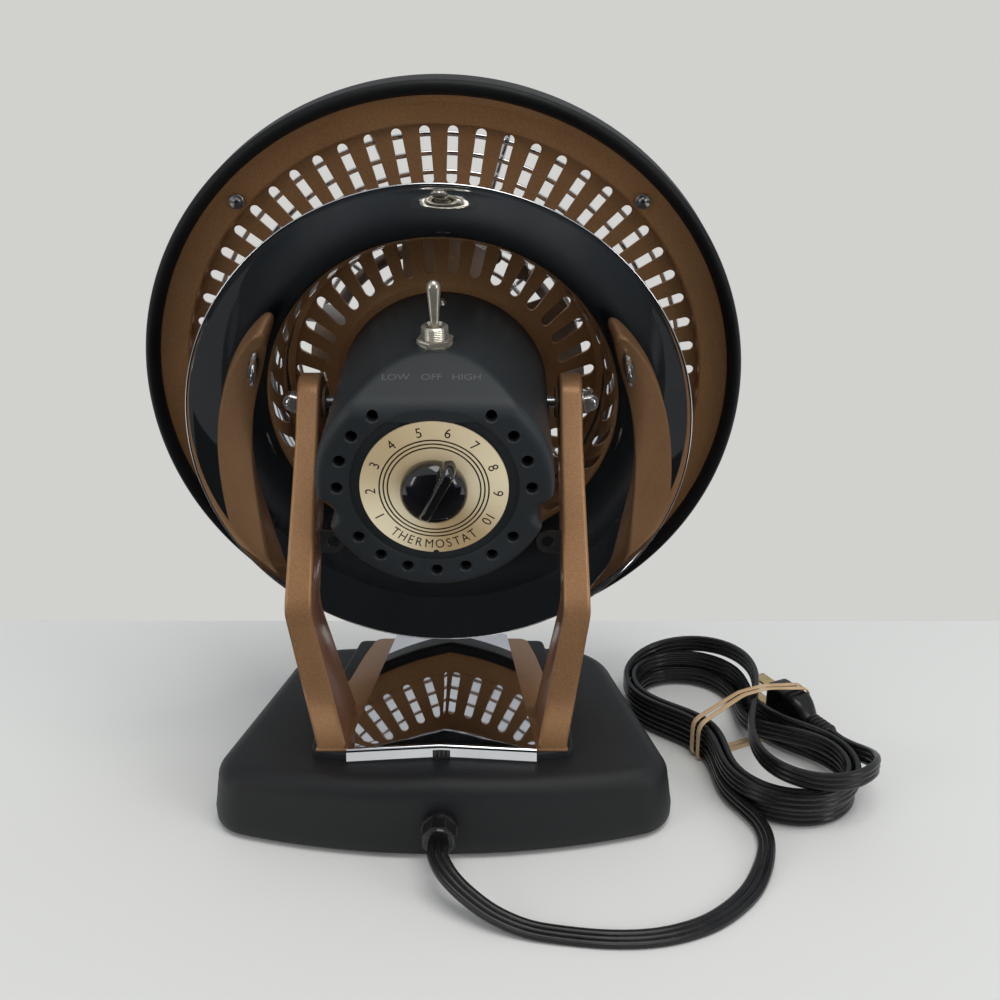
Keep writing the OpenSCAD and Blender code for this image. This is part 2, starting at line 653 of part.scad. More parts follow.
// Control housing: a can with a flat slope at the top, vents and a sunk dial ring
module slope_cut(depth) {
    translate([0, -can_r + depth, -slope_back]) rotate([slope_turn, 0, 0])
        translate([-can_r, -2*can_r, -2*can_r]) cube([2*can_r, 2*can_r, 2*can_r]);
}
module can_profile(wall) {
    r = can_r - wall;
    back = -can_back + wall;
    rotate_extrude($fn = 144) polygon(concat([[0, can_front], [r, can_front]],
        [for (i = [0:8]) let (a = 90*i/8)
            [r - can_round + can_round*cos(a), back + can_round - can_round*sin(a)]],
        [[0, back]]));
}
module notches(grow) {
    for (a = [-106, 106]) around(can_r + 1.5, a)
        translate([0, 0, -can_back - 1]) cylinder(r = 7 + grow, h = 26 + grow);
}
module control_housing() color("#2b2e31") head() difference() {
    union() {
        difference() {
            can_profile(0);
            slope_cut(0);
            notches(0);
            around(toggle_seat, 0) rotate([90, 0, 0])
                translate([0, -toggle_back, 0]) cylinder(r = 10.5, h = 10);
            translate([0, 0, -can_back - 1]) cylinder(r = recess_r, h = recess_depth + 1);
        }
        for (sx = [-1, 1]) mirror([sx > 0 ? 0 : 1, 0, 0])
            translate([0, -pivot_up, -pivot_back]) rod_x(pad_x - 7, pad_x, 8);
        translate([0, 0, dial_z]) cylinder(r = dial_r - 2, h = 3);
    }
    difference() {
        translate([0, 0, -can_back + can_wall + recess_depth]) cylinder(r = can_r - can_wall,
            h = can_back + can_front);
        slope_cut(can_wall);
        notches(can_wall);
        for (sx = [-1, 1]) mirror([sx > 0 ? 0 : 1, 0, 0])
            translate([0, -pivot_up, -pivot_back]) rod_x(pad_x - 7, pad_x, 8);
    }
    for (i = [2, 3, 4, 5, 7, 8, 9, 10, 11, 12, 13, 15, 16, 17, 18])
        around(vent_circle_r, 360*i/vent_places)
            translate([0, 0, -can_back - 1]) cylinder(r = vent_r, h = 12);
    translate([0, 0, -can_back - 2]) cylinder(r = stat_shaft_r + fit, h = 12);
    translate([0, 0, -toggle_back]) rotate([90, 0, 0])
        cylinder(r = bushing_r + fit, h = can_r);
    translate([0, -pivot_up, -pivot_back]) rod_x(-can_r - 4, can_r + 4, stud_r + fit);
    for (a = [0, 120, 240]) around(can_r + 2, a) translate([0, 0, -12]) rotate([-90, 0, 0])
        cylinder(r = screw_r + fit, h = 8);
}
module housing_screws() color("#c9ccd0") head() {
    for (a = [0, 120, 240]) around(can_r + seat, a) translate([0, 0, -12]) {
        rotate([90, 0, 0]) cylinder(r1 = 3, r2 = 2, h = 2);
        rotate([-90, 0, 0]) cylinder(r = screw_r, h = 6);
    }
}
module dial_plate() color("#c9a55c") head() difference() {
    translate([0, 0, dial_z - dial_t - seat]) cylinder(r = dial_r, h = dial_t);
    translate([0, 0, dial_z - 3]) cylinder(r = stat_shaft_r + 0.5, h = 4);
    around(dial_r, 180) translate([0, 0, dial_z - 3]) cylinder(r = 1.3, h = 4);
}
module thermostat_body() color("#d9d6cf") head() {
    z0 = floor_z + can_wall + seat;
    difference() {
        union() {
            translate([-12, -15, z0]) cube([24, 30, stat_depth]);
            for (x = [-8, 8]) translate([x - 3, 15 - eps, z0 + 6]) cube([6, 8, 0.8]);
        }
        translate([0, 0, z0 - 1]) cylinder(r = stat_shaft_r + fit, h = 11);
    }
}
module knob() color("#0b0b0c") head() {
    z0 = dial_z - seat - dial_t - 0.5;
    difference() {
        union() {
            translate([0, 0, z0]) rotate([180, 0, 0]) rotate_extrude() polygon(concat(
                [[0, 0], [knob_r, 0], [knob_r, 2]],
                [for (i = [1:10]) let (a = 9*i) [knob_r*cos(a), 2 + (knob_h - 2)*sin(a)]]));
            rotate([0, 0, knob_angle]) hull() {
                translate([0, knob_r - 5, z0 - 5]) sphere(3.4, $fn = 24);
                translate([0, -knob_r + 1, z0 - 5]) sphere(3.9, $fn = 24);
                translate([0, knob_r - 7, z0 - knob_h - 1.5]) sphere(2.2, $fn = 24);
                translate([0, -knob_r - 2, z0 - knob_h - 3]) sphere(2.8, $fn = 24);
            }
        }
        translate([0, 0, z0 - knob_h + 3]) cylinder(r = stat_shaft_r + 0.05, h = knob_h);
    }
}
module knob_shaft() color("#b9bcc0") head() {
    z0 = dial_z - seat - dial_t - 0.5 - knob_h + 3.2;
    translate([0, 0, z0]) cylinder(r = stat_shaft_r, h = floor_z + can_wall + 9 - z0);
}
module toggle_bushing() color("#c4c3bb") head() {
    translate([0, 0, -toggle_back]) rotate([90, 0, 0]) difference() {
        translate([0, 0, toggle_seat - 7]) cylinder(r = bushing_r, h = 15.8);
        translate([0, 0, toggle_seat - 8]) cylinder(r = 3.6, h = 20);
        translate([0, 0, toggle_seat + 5.9]) cylinder(r1 = 3.6, r2 = 4.6, h = 3);
    }
}
module toggle_nut() color("#c4c3bb") head() {
    translate([0, 0, -toggle_back]) rotate([90, 0, 0])
        translate([0, 0, toggle_seat + seat]) difference() {
            union() {
                cylinder(r = 7.6, h = 0.8);
                rotate([0, 0, 15]) translate([0, 0, 0.8 - eps])
                    cylinder(r = 8.2, h = 2.2, $fn = 6);
            }
            translate([0, 0, -1]) cylinder(r = bushing_r + fit, h = 6);
        }
}
module switch_body() color("#2c2c2e") head() {
    top = toggle_seat - 7 - seat;
    translate([-14, -top, -toggle_back - 7]) cube([28, 17, 14]);
    for (x = [-8, 0, 8]) translate([x - 3, -top + 17 - eps, -toggle_back - 0.4])
        cube([6, 7, 0.8]);
}
module toggle_lever() color("#d3d2cb") head() {
    translate([0, 0, -toggle_back]) rotate([90, 0, 0]) translate([0, 0, toggle_seat + 4.5]) {
        sphere(3.1, $fn = 48);
        rotate([-90, 0, 0]) translate([0, 0, -3.2]) cylinder(r = 1.2, h = 6.4);
        rotate_extrude($fn = 48) polygon(concat([[0, 0], [1.9, 0], [1.9, 6]],
            [[3.05, lever_len + 0.5]],
            [for (i = [1:6]) let (a = 15*i)
                [3.05*cos(a), lever_len + 0.5 + 3.8*sin(a)]]));
    }
}

// Pivots: studs of the head that turn in the arms
module pivot_studs() color("#b9bcc0") placed() both_sides() {
    translate([0, pivot_y, pivot_z]) rod_x(pad_x - 7 - seat, nut_x + 3.5, stud_r);
    translate([0, pivot_y, pivot_z]) rotate([0, 90, 0]) translate([0, 0, pad_x - 11 - seat])
        cylinder(r = 5, h = 4, $fn = 6);
}
module pivot_washers() color("#4a4136") placed() both_sides() {
    translate([0, pivot_y, pivot_z]) difference() {
        rod_x(pad_x + seat, arm_in - run_gap, 7.5);
        rod_x(pad_x - 1, arm_in + 1, stud_r + fit);
    }
}
module nut_washers() color("#c9ccd0") placed() both_sides() {
    translate([0, pivot_y, pivot_z]) difference() {
        rod_x(arm_out + run_gap, nut_x - seat, 6.2);
        rod_x(arm_out - 1, nut_x + 1, stud_r + fit);
    }
}
module acorn_nuts() color("#dfe1e3") placed() both_sides() {
    translate([0, pivot_y, pivot_z]) difference() {
        union() {
            translate([nut_x, 0, 0]) rotate([0, 90, 0]) cylinder(r = 5.6, h = 3.6, $fn = 6);
            translate([nut_x + 3.4, 0, 0]) rotate([0, 90, 0]) rotate_extrude()
                polygon(concat([[0, 0], [4.4, 0]], arc([0, 0], 4.4, 0, 90, 8)));
        }
        rod_x(nut_x - 1, nut_x + 3.6, stud_r + fit);
    }
}

// Motor: a shaded-pole motor in the housing, carried on two pillars of the shell
module motor_stator() color("#70757a") head() {
    translate([0, 0, -stack_back]) linear_extrude(stack_t) difference() {
        translate([-24, -30]) square([48, 62]);
        circle(rotor_r + 0.5);
        translate([-12, 18]) square([24, 6]);
        for (p = pillars_at) translate(p) circle(screw_r + fit);
    }
}
module motor_coil() color("#b5622d") head() {
    z0 = -stack_back - 5;
    difference() {
        translate([-11.5, 18.3, z0]) cube([23, 17.5, stack_t + 10]);
        translate([-13, 24 - seat, -stack_back - seat]) cube([26, 8 + 2*seat, stack_t + 2*seat]);
    }
}
module bearing_bracket() {
    difference() {
        union() {
            translate([-5, -29, 0]) cube([10, 45.5, 1.5]);
            cylinder(r = 8, h = 6);
            for (x = [-22, 16]) translate([x, -29, 0]) cube([6, 6, 1.5]);
            translate([-22, -29, 0]) cube([44, 6, 1.5]);
        }
        translate([0, 0, -1]) cylinder(r = shaft_r + fit, h = 9);
    }
}
module motor_bracket_rear() color("#8b9095") head() {
    translate([0, 0, -stack_back - seat]) mirror([0, 0, 1]) bearing_bracket();
}
module motor_bracket_front() color("#8b9095") head() {
    translate([0, 0, -stack_back + stack_t + seat]) bearing_bracket();
}
module motor_pillars() color("#b9bcc0") head() {
    back = -stack_back + stack_t + seat;
    for (p = pillars_at) let (z0 = p[1] < 0 ? back + 1.5 + seat : back)
        translate([p[0], p[1], z0]) cylinder(r = pillar_r, h = shell_hub - seat - z0);
}
module motor_rotor() color("#9a9ea2") head() {
    translate([0, 0, -stack_back]) difference() {
        cylinder(r = rotor_r, h = stack_t);
        translate([0, 0, -1]) cylinder(r = shaft_r + 0.02, h = stack_t + 2);
    }
}
module motor_shaft() color("#c9ccd0") head() {
    translate([0, 0, -stack_back - 8]) cylinder(r = shaft_r, h = stack_back + 8 + 32.8);
}
// Fan: curved blades on a hub
module fan_blade() color("#8f949a") head() {
    hub_r = 13;
    difference() {
        union() {
            translate([0, 0, 20.5]) rotate_extrude() polygon(concat([[0, 0], [hub_r, 0]],
                arc([hub_r - 3, 11], 3, 0, 90, 6), [[0, 14]]));
            for (i = [0:blades - 1]) rotate([0, 0, 360*i/blades]) intersection() {
                translate([0, 0, 29]) rotate([0, blade_pitch, 0]) translate([0, 0, -70])
                    rotate([90, 0, 0]) difference() {
                        cylinder(r = 71, h = 2*fan_r, center = true, $fn = 144);
                        cylinder(r = 70, h = 2*fan_r + 1, center = true, $fn = 144);
                    }
                linear_extrude(60) difference() {
                    intersection() {
                        circle(fan_r);
                        translate([-21, -fan_r]) square([42, fan_r - hub_r + 2]);
                        translate([0, -fan_r + 34]) circle(38);
                    }
                    circle(hub_r - 1);
                }
            }
        }
        translate([0, 0, 18]) cylinder(r = shaft_r + 0.02, h = 14.9);
    }
}

// Heater: two sheathed rings on a three-armed bracket
module element_bracket() color("#b8bcc0") head() {
    arm_z = element_z + element_tube_r + seat;
    post_r = 80;
    for (a = [0:120:240]) rotate([0, 0, a]) {
        translate([-5, -post_r - 3, arm_z]) cube([10, post_r + 3, 1.5]);
        translate([0, -post_r, shell_crest + shell_t + seat])
            cylinder(r = 3, h = arm_z + 1 - shell_crest - shell_t - seat);
    }
}
module heating_ring(r) {
    gap = 900/r;
    translate([0, 0, element_z]) rotate([0, 0, gap/2 - 60]) rotate_extrude(angle = 360 - gap)
        translate([r, 0]) circle(element_tube_r, $fn = 32);
    for (s = [-1, 1]) rotate([0, 0, -60 + s*gap/2]) translate([r, 0, element_z - 3.4])
        cylinder(r = element_tube_r + 1, h = 10);
}
module element_inner() color("#8d8a86") head() heating_ring(element_in_r);
module element_outer() color("#8d8a86") head() heating_ring(element_out_r);
module thermal_cutout() color("#d8d8d8") head() {
    translate([0, -(element_in_r + element_out_r)/2, element_z + element_tube_r + 1.5 + 2*seat]) {
        cylinder(r = 7.5, h = 4);
        translate([0, 0, 4 - eps]) cylinder(r = 5.5, h = 3);
    }
}

// Cord: a flat section swept along points, each with the direction of its width
function flat_section() = let (a = cord_t/2, b = cord_w/2)
    [[a, b - 1.6], [a - 1.1, b], [1.1 - a, b], [-a, b - 1.6],
     [-a, 1.6 - b], [1.1 - a, -b], [a - 1.1, -b], [a, 1.6 - b]];
function unit(v) = v/norm(v);
// Direction of travel at a point of a path
function heading(p, i) = unit(p[min(i + 1, len(p) - 1)] - p[max(i - 1, 0)]);
module sweep(p, roll) {
    sec = flat_section();
    m = len(sec);
    n = len(p);
    pts = [for (i = [0:n - 1]) let (t = heading(p, i), side = unit([t[1], -t[0], 0]),
            lift = cross(side, t), w = cos(roll[i])*side + sin(roll[i])*lift, th = cross(t, w))
        for (q = sec) p[i] + q[1]*w + q[0]*th];
    polyhedron(pts, concat([[for (j = [0:m - 1]) j]],
        [for (i = [0:n - 2], j = [0:m - 1]) let (k = (j + 1)%m)
            [i*m + j, (i + 1)*m + j, (i + 1)*m + k]],
        [for (i = [0:n - 2], j = [0:m - 1]) let (k = (j + 1)%m)
            [i*m + j, (i + 1)*m + k, i*m + k]],
        [[for (j = [m - 1:-1:0]) (n - 1)*m + j]]));
}
// Smooth curve through the route's points
function curve_at(r, i, t) =
    let (a = r[max(i - 1, 0)], b = r[i], c = r[i + 1], d = r[min(i + 2, len(r) - 1)])
    0.5*(2*b + (c - a)*t + (2*a - 5*b + 4*c - d)*t*t + (3*b - a - 3*c + d)*t*t*t);
module cord_lead() color("#1d1e20") placed() {
    n = len(lead_route);
    q = concat([for (i = [0:n - 2], k = [0:lead_steps - 1])
        curve_at(lead_route, i, k/lead_steps)], [lead_route[n - 1]]);
    sweep([for (v = q) [v[0], v[1], v[2]]], [for (v = q) v[3]]);
}

// Bundle: one spiral of loops, drawn in at the waist, that turns back and climbs a layer
function wave(a) = (1 + cos(180*min(a, 1)))/2;
function spread(t) = abs(t - turn_back) - 0.5 - 0.6*wave(abs(t - turn_back)/0.25);
function end_r(e) = fold_r + loop_step*(e - inner_e);
function waist_w(e) = waist_half + waist_step*(e + 0.5);
function run_w(e, x) = waist_w(e) + (end_r(e) - waist_w(e))*(1 - cos(180*x/fold_c))/2;
function climb(t, t0, t1) = 1 - wave((t - t0)/(t1 - t0) < 0 ? 0 : (t - t0)/(t1 - t0));
function loop_z(t) = bundle_z + layer_step*climb(t, turn_back - 0.125, turn_back + 0.125)
    + layer_step*climb(t, turns, turns + 0.25);
function loop_at(t) = let (e = spread(t), q = 4*(t - floor(t)), k = floor(q), g = q - k,
        r = end_r(e), c = fold_c, z = loop_z(t))
    k == 0 ? [c - 2*c*g, -run_w(e, c - 2*c*g), z]
    : k == 1 ? [-c - r*sin(180*g), -r*cos(180*g), z]
    : k == 2 ? [2*c*g - c, run_w(e, 2*c*g - c), z]
    : [c + r*sin(180*g), r*cos(180*g), z];
// The last stretch: over the bundle to its near side, then round and down to the plug
function bezier(a, b, c, d, t) = let (s = 1 - t)
    s*s*s*a + 3*s*s*t*b + 3*s*t*t*c + t*t*t*d;
function tail_cross(t) = let (a = loop_at(turns + 0.2499), r = tail_arc_r,
        d = [tail_arc_x - r*sin(15), plug_n - r - r*cos(15), tail_z])
    bezier([a[0], a[1], tail_z], [a[0] + 35, a[1], tail_z],
        d - 35*[cos(15), -sin(15), 0], d, t);
function tail_drop(s) = tail_z - (tail_z - plug_z)*(1 - wave(max(s, 0)));
function tail_arc(a) = [tail_arc_x + tail_arc_r*cos(a), plug_n - tail_arc_r + tail_arc_r*sin(a),
    tail_drop((a - 8)/112)];
function tail_end(x) = [x, plug_n, x > neck_x + 10 ? tail_drop((82 + (tail_arc_x - x)*1.9)/112)
    : plug_z];
function bundle_path(n) = concat(
    [for (i = [0:round((turns + 0.25)*n) - 1]) loop_at(i/n)],
    [for (i = [0:round(n/3) - 1]) tail_cross(i/round(n/3))],
    [for (i = [0:round(n/2) - 1]) tail_arc(-105 + 195*i/round(n/2))],
    [for (i = [0:4]) tail_end(tail_arc_x + (neck_x + seat - tail_arc_x)*i/4)]);
function path_length(p) = [for (i = 0, l = 0; i < len(p); i = i + 1,
    l = l + (i < len(p) ? norm(p[i] - p[i - 1]) : 0)) l][len(p) - 1];
// Least gap between stretches of the bundle that lie beside or over each other
function least_gap(p, skip) = min([for (i = [0:len(p) - 1 - skip]) min([
    for (j = [i + skip:len(p) - 1]) max(norm([p[i][0] - p[j][0], p[i][1] - p[j][1]]) - cord_t,
        abs(p[i][2] - p[j][2]) - cord_w)])]);
module bundle_frame() {
    translate([bundle_at[0], bundle_at[1], 0]) rotate([0, 0, bundle_turn]) children();
}
module cord_hank() color("#1d1e20") placed() bundle_frame() {
    p = bundle_path(loop_rings);
    sweep(p, [for (v = p) 90]);
    fine = bundle_path(4*loop_rings);
    echo(bundle_gap = least_gap(fine, loop_rings), bundle_length = path_length(fine));
}
// Outline round the bundle and the plug at the band, grown by a thickness
function grown(p, t) = [for (i = [0:len(p) - 1]) let (a = p[(i + len(p) - 1)%len(p)], b = p[i],
        c = p[(i + 1)%len(p)], u = unit(b - a), v = unit(c - b),
        n1 = [u[1], -u[0]], n2 = [v[1], -v[0]])
    b + t*(n1 + n2)/(1 + n1*n2)];
module hank_band() color("#c9a878") placed() bundle_frame() {
    w = waist_w(1.2) + cord_t/2 + 0.6;
    side = plug_n + plug_t/2 + 0.6;
    ring = [[-w + 2, band_t + 0.1], [side - 0.3, band_t + 0.1], [side, band_t + 0.4],
        [side, plug_z + plug_h/2 + 0.2], [side - 3, plug_z + plug_h/2 + 2],
        [19, tail_z + cord_w/2 + 1], [3, tail_z + cord_w/2 + 1],
        [-w + 2, bundle_z + layer_step + cord_w/2 + 1.4],
        [-w, bundle_z + layer_step + cord_w/2 - 1], [-w, band_t + 2]];
    for (x = [-3.8, 0.6]) translate([x, 0, 0]) rotate([90, 0, 90]) linear_extrude(3)
        difference() {
            polygon(grown(ring, band_t));
            polygon(ring);
        }
}
module plug_frame() {
    bundle_frame() translate([neck_x, plug_n, plug_z]) rotate([0, -90, 0]) children();
}
module plug_body() color("#1b1c1e") placed() plug_frame() {
    cylinder(r = 5.2, h = neck_l + 1);
    for (i = [0:4]) translate([0, 0, 1.5 + i*(neck_l - 3)/4.5]) cylinder(r = 5.9, h = 1.8);
    hull() {
        translate([-8, -6, neck_l]) cube([16, 12, 1]);
        translate([-plug_h/2, -plug_t/2, neck_l + 9]) cube([plug_h, plug_t, plug_l - 11]);
        translate([2 - plug_h/2, 2 - plug_t/2, neck_l + plug_l - 1])
            cube([plug_h - 4, plug_t - 4, 1]);
    }
}
module plug_blades() color("#c8b98a") placed() plug_frame() {
    for (v = [[-1, 6.3], [1, 7.9]]) translate([v[0]*6.35 - 0.75, -v[1]/2, neck_l + plug_l + seat])
        cube([1.5, v[1], blade_l]);
}

base_shell();
bottom_plate();
rubber_feet();
plate_screws();
tip_switch();
terminal_block();
inner_lead();
strain_relief();
saddle();
arm_left();
arm_right();
liner_left();
liner_right();
arm_spacers();
yoke_bolts();
yoke_nuts();
chrome_trim();
front_ring();
guard_spokes();
guard_rings();
guard_cap();
rear_shell();
shell_screws();
chrome_dish();
control_housing();
housing_screws();
pivot_studs();
pivot_washers();
nut_washers();
acorn_nuts();
dial_plate();
thermostat_body();
toggle_bushing();
toggle_nut();
switch_body();
motor_stator();
motor_coil();
motor_bracket_rear();
motor_bracket_front();
motor_pillars();
element_bracket();
element_inner();
element_outer();
thermal_cutout();
knob();
knob_shaft();
toggle_lever();
fan_blade();
motor_shaft();
motor_rotor();
cord_lead();
cord_hank();
hank_band();
plug_body();
plug_blades();
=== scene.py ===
"""Looks of a round electric fan heater on a forked stand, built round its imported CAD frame.

Lengths inside this script are millimetres and become metres when a mesh is made. Two coordinate
systems are in use: the row frame itself, and the head's own one (right, up, forward), whose origin
lies on the head's axis in the rear plane of its ring.
"""

import json
import logging
import math
from collections.abc import Callable
from dataclasses import dataclass, field
from enum import Enum

import bmesh
import bpy
import numpy as np
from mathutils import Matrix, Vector

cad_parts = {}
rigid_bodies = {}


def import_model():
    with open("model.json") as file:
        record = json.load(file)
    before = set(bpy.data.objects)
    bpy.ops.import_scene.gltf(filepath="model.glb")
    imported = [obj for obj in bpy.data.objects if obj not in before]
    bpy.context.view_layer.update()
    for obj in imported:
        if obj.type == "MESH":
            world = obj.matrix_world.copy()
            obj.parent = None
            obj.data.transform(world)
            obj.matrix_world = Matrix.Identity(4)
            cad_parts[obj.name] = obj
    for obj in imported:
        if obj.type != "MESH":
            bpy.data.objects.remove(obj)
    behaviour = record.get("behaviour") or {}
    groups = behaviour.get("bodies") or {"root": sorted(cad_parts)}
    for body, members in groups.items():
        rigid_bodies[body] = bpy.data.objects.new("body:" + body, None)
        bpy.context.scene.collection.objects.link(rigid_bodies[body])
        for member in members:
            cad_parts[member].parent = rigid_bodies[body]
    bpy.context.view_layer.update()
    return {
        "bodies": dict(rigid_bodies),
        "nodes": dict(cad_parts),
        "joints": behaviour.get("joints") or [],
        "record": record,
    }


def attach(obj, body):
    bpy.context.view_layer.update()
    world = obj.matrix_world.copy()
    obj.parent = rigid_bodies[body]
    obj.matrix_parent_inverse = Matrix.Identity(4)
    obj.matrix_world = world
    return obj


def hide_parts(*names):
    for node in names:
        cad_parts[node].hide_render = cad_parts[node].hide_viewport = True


LOG = logging.getLogger("fan_heater")
MM = 0.001
WELD = 1e-6
TILT = math.radians(10.0)
PIVOT = np.array([0.0, -6.35, 202.7])
PIVOT_BACK = 30.5
PIVOT_UP = 9.5
SHIFT_Y = -9.0

# Ring and dish
RING_R = 150.0
RING_DEPTH = 24.0
SHELL_R = 143.2
DISH_R0 = 82.0
DISH_R1 = 116.8
DISH_BACK = 49.0
DISH_FRONT = 17.15
DISH_SHEET = 0.8

# Control housing
CAN_R = 52.0
CAN_BACK = 97.5
CAN_FRONT = 4.95
CAN_WALL = 2.5
SLOPE_BACK = 68.0
SLOPE_DROP = 14.0
RECESS_R = 36.5
RECESS_DEPTH = 2.0
SLOPE_RUN = CAN_BACK - RECESS_DEPTH - SLOPE_BACK
DIAL_R = 32.0
DIAL_BACK = 98.25
TOGGLE_BACK = 60.0
TOGGLE_SEAT = 51.0
KNOB_ANGLE = math.radians(26.0)

# Fork
ARM_IN = 56.0
ARM_OUT = 66.7
ELBOW_X = 69.4
FOOT_X = 60.7
ELBOW_Z = 119.0
NECK_Z = 188.7
FOOT_Z = 43.1
ARM_TOP = 225.0
FOOT_WIDE = 14.4
ELBOW_WIDE = 12.4
ARM_SHEET = 1.5

# Cord
CORD_W = 9.6
CORD_T = 3.6

# Room, in metres
WALL = (0.640, 0.640, 0.620)
WALL_Y = 0.167
FLOOR = (0.81, 0.815, 0.80)
ROOM = 9.0
# Height and edge of the dark sheets that paint shade into reflections
SHEET_Z = 0.06
SHEET_EDGE = -0.16


class Body(Enum):
    """CAD bodies that the pieces ride on."""

    BASE = "base"
    HEAD = "head"
    KNOB = "knob"
    TOGGLE = "toggle"
    FAN = "fan"


class Pattern(Enum):
    """Kinds of procedural surface."""

    GRAIN = "fine moulded or powder-coated grain"
    FLAKE = "metallic paint with flakes"
    SMUDGE = "polished metal with faint smudges"
    # The bright sectors of the brushed disc are painted highlights mixed into its colour.
    SPUN = "brushed disc with bright sectors"
    LINES = "stacked sheets or turns of wire"


@dataclass(frozen=True)
class Finish:
    """A procedural finish.

    Args:
        label: name of the material.
        slot: the record's material slot.
        tint: linear base colour.
        shade: linear colour that the tint is mottled with; in the brushed-disc pattern, the painted highlight
            of the bright sectors.
        pattern: kind of surface.
        metallic: 0 for paint or plastic, 1 for bare metal.
        roughness: mean roughness.
        vary: how far the roughness wanders from its mean.
        grain: fine cells per metre.
        bump: height of the fine grain in metres.
        mottle: slow cells per metre.
        coat: strength of a clear coat.
        sheen_ior: index of refraction.
    """

    label: str
    slot: str
    tint: tuple[float, float, float]
    shade: tuple[float, float, float]
    pattern: Pattern = Pattern.GRAIN
    metallic: float = 0.0
    roughness: float = 0.5
    vary: float = 0.04
    grain: float = 1400.0
    bump: float = 0.0
    mottle: float = 25.0
    coat: float = 0.0
    sheen_ior: float = 1.5

    def material(self) -> bpy.types.Material:
        """Makes the material, or returns it if it was made already.

        Returns:
            The node material of this finish.
        """
        found = bpy.data.materials.get(self.label)
        return found if found else ShaderBuilder(self).build()


